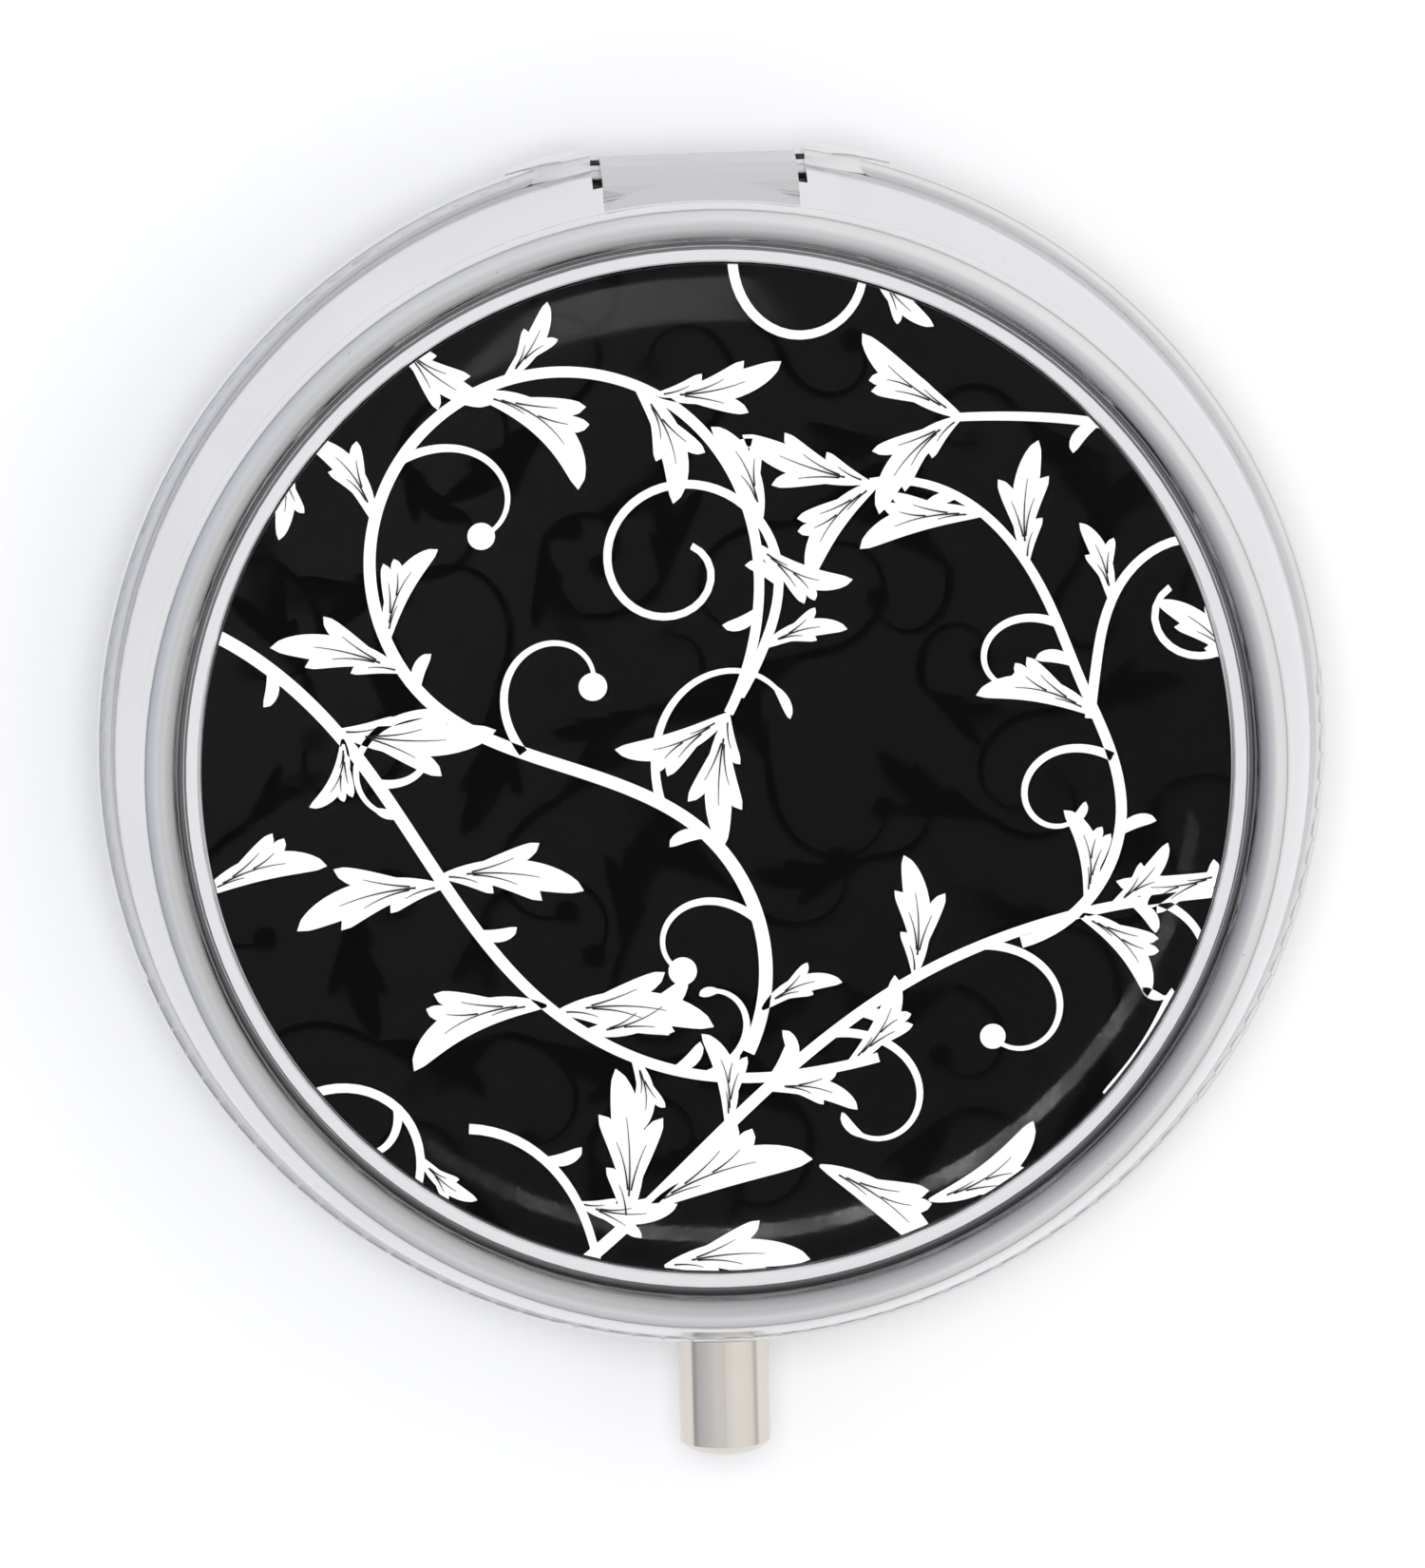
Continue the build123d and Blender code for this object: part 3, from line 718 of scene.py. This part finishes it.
def blade(full, belly=0.6, neck=0.11, point=1.5):
    """Half width of a pointed blade that is widest at belly."""
    before = point * belly
    after = point * (1 - belly)

    def half_width(t):
        swell = (t / belly) ** before * ((1 - t) / (1 - belly)) ** after
        return full / 2 * swell + neck / 2 * (1 - t)

    return half_width


# Leaf lobes: share along the middle blade, side (1 is the side it bends to), length, turn and width
# as shares of the leaf's size.
SPEAR = ((0.10, 1, 0.62, 34, 0.12), (0.14, -1, 0.60, 38, 0.12), (0.0, 1, 0.40, 44, 0.09))
CURLED = ((0.16, -1, 0.54, 46, 0.12), (0.36, -1, 0.40, 52, 0.11), (0.04, 1, 0.44, 18, 0.10))
FORKED = ((0.14, 1, 0.52, 42, 0.12), (0.24, -1, 0.50, 46, 0.12))


def leaf(white, dark, start, heading, size, bend, lobes):
    """An acanthus leaf: blades that leave one base and part at their tips, with engraved lines."""
    hand = 1 if bend >= 0 else -1
    middle = walk(start, heading, size, bend, 1.2, LEAF_STATIONS)
    white.stroke(middle, blade(0.19 * size, 0.58, 0.12))
    if dark:
        dark.stroke(middle[3:12], taper(0.075, 0.02))
    for share, side, length, turn, width in lobes:
        x, y, angle = middle[round(share * LEAF_STATIONS)]
        way = side * hand
        bent = bend * length * 0.6 + turn * way
        lobe = walk((x, y), math.degrees(angle) + 4 * way, size * length, bent, 1.6, LOBE_STATIONS)
        white.stroke(lobe, blade(width * size, 0.62, 0.10))
        if dark:
            dark.stroke(lobe[2:9], taper(0.07, 0.02))


def tendril(pen, start, heading, length, turn, ball, thick=0.38):
    """A tendril that rolls up, with a ball at its end, or a comma where ball is 0."""
    line = walk(start, heading, length, turn, 3.0, 30)
    pen.stroke(line, taper(thick, 0.16))
    if ball:
        pen.ball(line[-1][:2], ball)
    else:
        x, y, angle = line[-5]
        pen.stroke(walk((x, y), math.degrees(angle), length / 7, turn / 5, 0, 6), blade(0.34, 0.6, 0.15))


# Main stems: start, heading, bends, full width at the start and at the end.
STEMS = {
    "crown": (
        (1.0, -11.8), 64,
        ((7, 50), (6, 40), (6, 2), (6, -40), (7, -50), (9, -66), (10, -72), (9, -46)), 0.56, 0.40,
    ),
    "inner": ((1.0, 3.0), 58, ((4, 20), (5, 66), (5, 84), (4.5, 96), (3.5, 100), (2.2, 90)), 0.42, 0.28),
    "left": ((-22.0, 7.0), -20, ((6, -24), (6, -14), (7, 4), (6, 22), (8, 36), (4, 10)), 0.56, 0.40),
    "front": ((-7.2, -21.4), 38, ((8, 6), (8, -8), (8, -18), (9, -14), (10, 26)), 0.54, 0.34),
    "right": ((12.2, -7.6), 14, ((4, 42), (6, 52), (6, 4), (5, 26), (5, 50)), 0.48, 0.34),
    "ring": ((15.2, 1.6), 84, ((4, -10), (4, -50), (4, -86), (4, -96), (3, -90), (2, -80)), 0.42, 0.28),
    "rear": ((21.0, 11.0), 134, ((6, 34), (6, 14)), 0.48, 0.34),
    "corner": ((-18.6, -14.6), 62, ((4, -66), (5, -90), (4, -50)), 0.42, 0.30),
    "porch": ((-10.4, -14.6), -4, ((3.4, -40), (3.6, -30), (3, -10)), 0.42, 0.30),
    "step": ((1.2, 21.6), -100, ((3, 50), (4, 90), (4, 80), (2, 20)), 0.42, 0.30),
}
# Tendrils: stem, share along it, turn away from it, length, turn, the end ball's radius.
TENDRILS = (
    ("crown", 0.36, 34, 7.6, 190, 0.0), ("crown", 0.30, -34, 8.6, -230, 0.58),
    ("crown", 0.55, -30, 7.6, -190, 0.56), ("crown", 0.09, 34, 6.6, 200, 0.58),
    ("crown", 0.20, -46, 10.5, -190, 0.0), ("left", 0.80, 30, 5.6, 190, 0.0),
    ("front", 0.36, -34, 9.6, -260, 0.0), ("front", 0.53, -24, 8.4, -230, 0.52),
    ("front", 0.70, -26, 7.0, -210, 0.0), ("right", 0.36, 46, 8.4, 290, 0.0),
    ("right", 0.60, 46, 6.2, 230, 0.54), ("left", 0.30, 46, 4.2, 190, 0.0),
    ("corner", 0.50, -40, 4.0, -190, 0.0),
)
# Leaves: stem, share along it, turn away from it, size, bend, lobes.
LEAVES = (
    ("crown", 0.03, -34, 3.6, -60, FORKED), ("crown", 0.40, 30, 5.6, 34, SPEAR),
    ("crown", 0.42, -26, 4.6, -60, CURLED), ("crown", 0.50, 26, 4.6, 60, FORKED),
    ("crown", 0.62, -34, 6.4, -84, CURLED), ("crown", 0.64, 26, 3.8, 40, FORKED),
    ("crown", 0.73, -24, 5.4, -60, FORKED), ("crown", 0.75, 26, 5.4, 40, SPEAR),
    ("crown", 0.88, 34, 4.4, 60, CURLED), ("crown", 1.0, 14, 5.6, 24, SPEAR),
    ("crown", 1.0, -24, 5.0, -50, CURLED), ("inner", 0.32, -30, 4.6, 50, FORKED),
    ("inner", 0.10, -34, 3.6, -50, FORKED), ("left", 0.22, 36, 6.6, 30, SPEAR),
    ("left", 0.24, -30, 3.4, -80, CURLED), ("left", 0.43, -124, 6.4, 40, SPEAR),
    ("left", 0.42, 66, 6.0, -34, SPEAR), ("left", 0.60, -144, 6.4, 70, CURLED),
    ("left", 0.62, 50, 6.6, -40, SPEAR), ("left", 0.66, 34, 5.0, 60, FORKED),
    ("left", 0.72, -34, 3.4, -70, FORKED), ("left", 0.96, 24, 4.4, 60, CURLED),
    ("front", 0.09, 40, 6.6, 24, SPEAR), ("front", 0.11, -10, 7.4, -40, CURLED),
    ("front", 0.23, 34, 4.2, 60, CURLED), ("front", 0.28, -30, 4.0, -60, FORKED),
    ("front", 0.46, 50, 5.2, 34, SPEAR), ("front", 0.62, -34, 4.8, -70, CURLED),
    ("front", 0.66, 20, 3.6, 40, FORKED), ("right", 0.44, 30, 5.2, 60, CURLED),
    ("right", 0.70, -24, 5.2, -30, SPEAR), ("right", 0.80, 34, 5.4, 50, CURLED),
    ("right", 0.98, 24, 5.2, 60, CURLED), ("right", 1.0, -20, 5.6, -24, SPEAR),
    ("right", 0.12, 24, 4.2, 70, CURLED), ("ring", 0.24, 26, 3.6, 40, FORKED),
    ("rear", 0.30, -26, 5.6, -44, CURLED), ("rear", 0.98, 24, 5.4, 54, SPEAR),
    ("rear", 0.96, -30, 5.4, -30, CURLED), ("corner", 0.66, 30, 3.0, 40, FORKED),
    ("porch", 0.55, 40, 4.2, 50, SPEAR), ("porch", 0.90, 30, 3.6, -40, FORKED),
)
# Leaves on no stem, which the disc's edge mostly cuts off: start, heading, size, bend, lobes.
LOOSE_LEAVES = (
    ((-12.6, 18.2), -50, 4.8, 30, SPEAR), ((-17.2, 13.8), -84, 3.8, -24, FORKED),
    ((6.8, 20.6), -60, 3.6, 30, FORKED), ((21.4, 3.4), 122, 4.6, 40, SPEAR),
    ((20.6, -5.0), -160, 4.6, -40, CURLED), ((15.4, -14.0), 30, 5.4, 60, CURLED),
    ((-2.6, -20.6), 14, 6.0, -30, SPEAR), ((3.8, -16.6), -24, 6.4, -40, CURLED),
    ((8.2, -18.2), 10, 5.6, 60, CURLED), ((-21.0, -4.6), 34, 5.4, -50, CURLED),
)
# Thorns: stem, share along it, side.
THORNS = (
    ("crown", 0.16, 1), ("crown", 0.80, 1), ("crown", 0.92, -1), ("left", 0.12, -1), ("left", 0.50, 1),
    ("left", 0.88, 1), ("front", 0.31, 1), ("front", 0.40, -1), ("front", 0.68, -1), ("front", 0.74, 1),
    ("right", 0.24, -1), ("right", 0.52, 1), ("right", 0.86, 1), ("rear", 0.5, 1), ("inner", 0.20, 1),
    ("left", 0.76, 1), ("crown", 0.38, -1), ("porch", 0.30, 1), ("ring", 0.5, 1),
)


def draw_scrolls(weight):
    """The white scrolls and their engraved lines. Weight widens or thins the stems."""
    white = Pen()
    dark = Pen()
    lines = {name: sweep(start, heading, bends) for name, (start, heading, bends, _, _) in STEMS.items()}

    def spot(name, share):
        x, y, angle = lines[name][round(share * (len(lines[name]) - 1))]
        return (x, y), math.degrees(angle)

    for name, (_, _, _, thick, thin) in STEMS.items():
        white.stroke(lines[name], taper(thick * weight, thin * weight))
    for name, share, away, length, turn, ball in TENDRILS:
        start, heading = spot(name, share)
        tendril(white, start, heading + away, length, turn, ball)
    for name, share, away, size, bend, lobes in LEAVES:
        start, heading = spot(name, share)
        leaf(white, dark, start, heading + away, size, bend, lobes)
    for start, heading, size, bend, lobes in LOOSE_LEAVES:
        leaf(white, dark, start, heading, size, bend, lobes)
    for name, share, side in THORNS:
        start, heading = spot(name, share)
        thorn = walk(start, heading + THORN_ANGLE * side, THORN_LENGTH, THORN_TURN * side, 1.0, 8)
        white.stroke(thorn, blade(THORN_WIDTH, 0.6, 0.2))
    return white.bm, dark.bm


def draw_shadow_leaves():
    """Large faint leaves and tendrils, spread evenly over the disc."""
    rng = random.Random(SHADOW_SEED)
    pen = Pen()
    for index in range(SHADOW_COUNT):
        radius = SHADOW_REACH * math.sqrt((index + 0.5) / SHADOW_COUNT)
        angle = index * GOLDEN_ANGLE
        start = (radius * math.cos(angle), radius * math.sin(angle))
        heading = rng.uniform(0, 360)
        hand = rng.choice((-1, 1))
        leaf(pen, None, start, heading, rng.uniform(4.0, 6.6), hand * rng.uniform(20, 70), SPEAR)
        tendril(pen, start, heading + 150, rng.uniform(5, 9), -hand * rng.uniform(180, 280), 0.5, 0.4)
    return pen.bm


def clip_to_disc(bm, radius):
    """Cuts off all that lies outside the circle."""
    for cut in range(DISC_CUTS):
        angle = 2 * math.pi * cut / DISC_CUTS
        outward = Vector((math.cos(angle), math.sin(angle), 0.0))
        geometry = [*bm.verts, *bm.edges, *bm.faces]
        bmesh.ops.bisect_plane(
            bm, geom=geometry, dist=1e-5, plane_co=outward * radius, plane_no=outward, clear_outer=True
        )


def lay_ink(bm, level, thickness):
    """Clips a drawing in millimetres to the disc and makes it a thin solid that stands on level."""
    clip_to_disc(bm, PRINT_RADIUS / MM - INK_MARGIN)
    bmesh.ops.scale(bm, vec=(MM, MM, MM), verts=bm.verts)
    bmesh.ops.translate(bm, verts=bm.verts, vec=(0.0, 0.0, level + thickness))
    for face in bm.faces:
        if face.normal.z < 0:
            face.normal_flip()
    made = bmesh.ops.extrude_face_region(bm, geom=[*bm.faces], use_keep_orig=True)
    moved = [item for item in made["geom"] if isinstance(item, bmesh.types.BMVert)]
    bmesh.ops.translate(bm, verts=moved, vec=(0.0, 0.0, -thickness))
    bmesh.ops.recalc_face_normals(bm, faces=bm.faces)


def make_print(settings):
    """The printed disc: black ground, faint leaves, white scrolls and engraved lines."""
    relief = settings.relief
    top = PRINT_TOP - GROUND_DEPTH
    ground = bmesh.new()
    bmesh.ops.create_circle(ground, cap_ends=True, segments=192, radius=PRINT_RADIUS)
    bottom = bmesh.ops.extrude_face_region(ground, geom=[*ground.faces], use_keep_orig=True)
    lowered = [item for item in bottom["geom"] if isinstance(item, bmesh.types.BMVert)]
    bmesh.ops.translate(ground, verts=lowered, vec=(0.0, 0.0, PRINT_LOW[2] - top))
    bmesh.ops.translate(ground, verts=ground.verts, vec=(0.0, 0.0, top))
    bmesh.ops.recalc_face_normals(ground, faces=ground.faces)
    black = printed_ground("printed_black", settings.ground)
    new_piece("print_ground", ground, "lid", [black], ["print_sheet"])

    shadow = draw_shadow_leaves()
    lay_ink(shadow, top, relief)
    faint = printed_ink("shadow_ink", settings.shade, 0.5)
    new_piece("shadow_leaves", shadow, "lid", [faint])

    scrolls, lines = draw_scrolls(settings.weight)
    lay_ink(scrolls, top + 2 * relief, relief)
    white = printed_ink("scroll_ink", settings.ink, 0.93)
    new_piece("scroll_ornament", scrolls, "lid", [white])
    lay_ink(lines, top + 5 * relief, relief)
    dark = printed_ink("line_ink", LINE_INK, 0.8)
    new_piece("engraved_lines", lines, "lid", [dark])


def make_dome(settings):
    """Clear resin dome: flat in the middle, falling ever more steeply to a rounded edge."""
    rise = DOME_HIGH[2] - DOME_LOW[2] - settings.edge_height
    bm = bmesh.new()
    profile = [bm.verts.new((0.0, 0.0, DOME_LOW[2]))]
    for step in range(DOME_STATIONS + 1):
        share = math.sin(math.pi / 2 * step / DOME_STATIONS)
        height = settings.edge_height + rise * (1 - share**settings.fullness) ** DOME_EASE
        profile.append(bm.verts.new((PRINT_RADIUS * share, 0.0, DOME_LOW[2] + height)))
    profile.append(bm.verts.new((PRINT_RADIUS, 0.0, DOME_LOW[2])))
    around = [*profile[1:], profile[0]]
    for first, second in zip(around, around[1:]):
        bm.edges.new((first, second))
    bmesh.ops.spin(
        bm,
        geom=[*bm.verts, *bm.edges],
        cent=(0.0, 0.0, 0.0),
        axis=(0.0, 0.0, 1.0),
        angle=2 * math.pi,
        steps=settings.steps,
        use_merge=True,
    )
    bmesh.ops.remove_doubles(bm, verts=bm.verts, dist=1e-7)
    bmesh.ops.dissolve_degenerate(bm, edges=bm.edges, dist=1e-8)
    bmesh.ops.recalc_face_normals(bm, faces=bm.faces)
    for face in bm.faces:
        face.smooth = True
    for edge in bm.edges:
        edge.smooth = edge.calc_face_angle(0.0) < SMOOTH_LIMIT
    new_piece("clear_dome", bm, "lid", [clear_resin("cast_resin")], ["crystal_dome"])


# ---------------------------------------------------------------------------------------------
# Operators
# ---------------------------------------------------------------------------------------------


class PILLBOX_OT_finish_shells(Operator):
    """Give the lid, the base and the button their polished plating"""

    bl_idname = "pillbox.finish_shells"
    bl_label = "Finish Shells and Button"

    def execute(self, context):
        metal = context.scene.pillbox_metal
        finish_node("lid_shell", lid_plating("lid_nickel_plate", metal.nickel, metal.polish))
        finish_node("base_shell", polished_metal("base_nickel_plate", metal.nickel, metal.polish))
        finish_node("push_button", polished_metal("button_nickel", metal.button, metal.polish, 0.06, 0.1))
        return {"FINISHED"}


class PILLBOX_OT_finish_works(Operator):
    """Give the hinge pin, the latch and their small parts their steel"""

    bl_idname = "pillbox.finish_works"
    bl_label = "Finish Hinge and Latch"

    def execute(self, context):
        steel = context.scene.pillbox_metal.steel
        stamped = stamped_steel("stamped_steel", steel, 0.34)
        turned = stamped_steel("turned_steel", scaled(steel, 1.15), 0.22)
        drawn = stamped_steel("spring_wire", scaled(steel, 0.9), 0.28)
        for node in ("latch_plate", "latch_bracket", "lid_catch", "stem_clip"):
            finish_node(node, stamped)
        for node in ("hinge_pin", "button_bush", "bracket_rivets", "catch_rivets"):
            finish_node(node, turned)
        finish_node("button_spring", drawn)
        return {"FINISHED"}


class PILLBOX_OT_finish_inside(Operator):
    """Give the tray, the mirror and the glue films their materials"""

    bl_idname = "pillbox.finish_inside"
    bl_label = "Finish Tray and Mirror"

    def execute(self, context):
        finish_node("mirror", silvered_glass("silvered_glass"))
        finish_node("mirror_ring", polished_metal("satin_ring_plate", (0.76, 0.76, 0.77), 0.24, 0.1, 0.2))
        finish_node("pill_tray", moulded_plastic("tray_plastic", (0.86, 0.86, 0.84), 0.36))
        glue = adhesive_film("adhesive_film", (0.82, 0.82, 0.79))
        for node in ("insert_backing", "mirror_pad", "tray_pad"):
            finish_node(node, glue)
        return {"FINISHED"}


class PILLBOX_OT_add_print(Operator):
    """Make the printed disc with its scrolls"""

    bl_idname = "pillbox.add_print"
    bl_label = "Add Printed Disc"

    def execute(self, context):
        make_print(context.scene.pillbox_print)
        return {"FINISHED"}


class PILLBOX_OT_add_dome(Operator):
    """Make the clear dome over the print"""

    bl_idname = "pillbox.add_dome"
    bl_label = "Add Clear Dome"

    def execute(self, context):
        make_dome(context.scene.pillbox_dome)
        return {"FINISHED"}


# Key lamp over the whole object. Directions are from the object, sizes in metres, power in watts.
KEY_DIRECTION = (-0.04, 0.218, 1.0)
KEY_DISTANCE = 1.2
KEY_SIZE = (0.3, 0.3)
KEY_POWER = 4.6
# Arc of small lamps: its start and sweep in degrees from +X, its spread, and each lamp
ARC_START = -118
ARC_SWEEP = 100
ARC_SPREAD = 0.44
ARC_DISTANCE = 0.6
ARC_LAMP = (0.066, 0.045)
ARC_POWER = 0.15
# Tent: height of the direction (0 at the horizon, 1 overhead) and brightness there
TENT_STOPS = ((0.0, 0.40), (0.10, 0.58), (0.30, 0.93), (0.70, 1.0), (0.90, 1.06), (1.0, 0.94))
TENT_BRIGHTNESS = 0.92
# How much brighter the tent is on the right and behind, and its tints on the left and the right
TENT_TO_RIGHT = 0.20
TENT_TO_BACK = 0.12
TENT_COOL = (0.90, 0.92, 1.0)
TENT_WHITE = (1.0, 1.0, 1.0)


def add_softbox(name, direction, distance, size, power, mirrored=True, along=(1.0, 0.0, 0.0)):
    """A rectangular area light in that direction from the object, turned towards it, its first side
    along the given way. Where it isn't mirrored, glossy surfaces don't show it."""
    light = bpy.data.lights.new(name, "AREA")
    light.shape = "RECTANGLE"
    light.size, light.size_y = size
    light.energy = power
    lamp = bpy.data.objects.new(name, light)
    back = Vector(direction).normalized()
    up = back.cross(Vector(along)).normalized()
    turned = Matrix((up.cross(back), up, back)).transposed().to_4x4()
    lamp.matrix_world = Matrix.Translation(back * distance) @ turned
    lamp.visible_glossy = mirrored
    bpy.context.scene.collection.objects.link(lamp)
    return lamp


def add_arc_light(stage, lamps=9):
    """A curved row of small lamps round the front right, which only the clear dome mirrors."""
    group = bpy.data.collections.new("Lit by Arc")
    group.objects.link(bpy.data.objects["clear_dome"])
    middle = Vector((math.tan(stage.lean), -math.tan(stage.tilt), 1.0))
    for index in range(lamps):
        share = index / (lamps - 1)
        angle = math.radians(ARC_START + ARC_SWEEP * share)
        direction = middle + Vector((math.cos(angle), math.sin(angle), 0.0)) * ARC_SPREAD
        along = (-math.sin(angle), math.cos(angle), 0.0)
        power = ARC_POWER * (0.25 + math.sin(math.pi * share) ** 1.5)
        name = f"arc_lamp_{index + 1}"
        lamp = add_softbox(name, direction, ARC_DISTANCE, ARC_LAMP, power, True, along)
        lamp.light_linking.receiver_collection = group


def studio_tent():
    """A light tent: brightest high up, a little darker straight overhead and dark low down."""
    world = bpy.data.worlds.new("Studio")
    world.use_nodes = True
    tree = world.node_tree
    background = tree.nodes["Background"]
    direction = tree.nodes.new("ShaderNodeTexCoord").outputs["Generated"]
    axes = tree.nodes.new("ShaderNodeSeparateXYZ")
    tree.links.new(direction, axes.inputs[0])
    ramp = tree.nodes.new("ShaderNodeValToRGB")
    ramp.color_ramp.interpolation = "EASE"
    tree.links.new(axes.outputs["Z"], ramp.inputs["Fac"])
    set_stops(ramp.color_ramp, TENT_STOPS)
    to_right = add_math(tree, "MULTIPLY", axes.outputs["X"], TENT_TO_RIGHT)
    to_back = add_math(tree, "MULTIPLY", axes.outputs["Y"], TENT_TO_BACK)
    gain = add_math(tree, "ADD", add_math(tree, "ADD", to_right, to_back), 1.0)
    across = add_range(tree, axes.outputs["X"], -0.9, 0.2)
    tint = mix_colours(tree, across, TENT_COOL, TENT_WHITE)
    tree.links.new(tint, background.inputs["Color"])
    lit = add_math(tree, "MULTIPLY", ramp.outputs["Color"], gain)
    strength = add_math(tree, "MULTIPLY", lit, TENT_BRIGHTNESS)
    tree.links.new(strength, background.inputs["Strength"])
    return world


class PILLBOX_OT_add_stage(Operator):
    """Make the floor, the studio light and the camera"""

    bl_idname = "pillbox.add_stage"
    bl_label = "Add Stage"

    def execute(self, context):
        stage = context.scene.pillbox_stage
        self.add_floor(stage)
        self.add_light(context.scene, stage)
        self.add_camera(context.scene, stage)
        return {"FINISHED"}

    def add_floor(self, stage):
        bm = bmesh.new()
        bmesh.ops.create_grid(bm, x_segments=8, y_segments=8, size=FLOOR_HALF)
        mesh = bpy.data.meshes.new("floor")
        bm.to_mesh(mesh)
        bm.free()
        mesh.materials.append(floor_surface("floor_paper", stage.floor))
        floor = bpy.data.objects.new("floor", mesh)
        bpy.context.scene.collection.objects.link(floor)

    def add_light(self, scene, stage):
        scene.world = studio_tent()
        scene.view_settings.view_transform = "Standard"
        add_softbox("key_softbox", KEY_DIRECTION, KEY_DISTANCE, KEY_SIZE, KEY_POWER, mirrored=False)
        add_arc_light(stage)

    def add_camera(self, scene, stage):
        middle = Vector((0.0, VIEW_MIDDLE_Y, PARTING_HEIGHT))
        toward = Vector((-math.tan(stage.lean), math.tan(stage.tilt), 1.0)).normalized()
        up = Vector((0.0, 1.0, 0.0))
        right = up.cross(toward).normalized()
        up = toward.cross(right)
        turned = Matrix((right, up, toward)).transposed() @ Matrix.Rotation(-stage.roll, 3, "Z")
        lens = bpy.data.cameras.new("Camera")
        lens.lens = MAGNIFICATION * stage.distance / MM
        lens.clip_start = 0.01
        lens.clip_end = 20.0
        camera = bpy.data.objects.new("Camera", lens)
        camera.matrix_world = Matrix.Translation(middle + toward * stage.distance) @ turned.to_4x4()
        scene.collection.objects.link(camera)
        scene.camera = camera


class PILLBOX_PT_sidebar(Panel):
    """The pill box's sizes, colours and pieces"""

    bl_idname = "PILLBOX_PT_sidebar"
    bl_label = "Pill Box"
    bl_space_type = "VIEW_3D"
    bl_region_type = "UI"
    bl_category = "Pill Box"

    def draw(self, context):
        layout = self.layout
        for group in SETTINGS:
            settings = getattr(context.scene, group)
            for name in settings.__annotations__:
                layout.prop(settings, name)
        for operator in STEPS:
            layout.operator(operator.bl_idname)


SETTINGS = {
    "pillbox_metal": MetalSettings,
    "pillbox_print": PrintSettings,
    "pillbox_dome": DomeSettings,
    "pillbox_stage": StageSettings,
}
STEPS = (
    PILLBOX_OT_finish_shells,
    PILLBOX_OT_finish_works,
    PILLBOX_OT_finish_inside,
    PILLBOX_OT_add_print,
    PILLBOX_OT_add_dome,
    PILLBOX_OT_add_stage,
)


def register():
    for cls in (*SETTINGS.values(), *STEPS, PILLBOX_PT_sidebar):
        bpy.utils.register_class(cls)
    for name, group in SETTINGS.items():
        setattr(bpy.types.Scene, name, PointerProperty(type=group))


def unregister():
    for name in SETTINGS:
        delattr(bpy.types.Scene, name)
    for cls in reversed((*SETTINGS.values(), *STEPS, PILLBOX_PT_sidebar)):
        bpy.utils.unregister_class(cls)


def main():
    register()
    for step in STEPS:
        group, name = step.bl_idname.split(".")
        getattr(getattr(bpy.ops, group), name)()


if __name__ == "__main__":
    main()
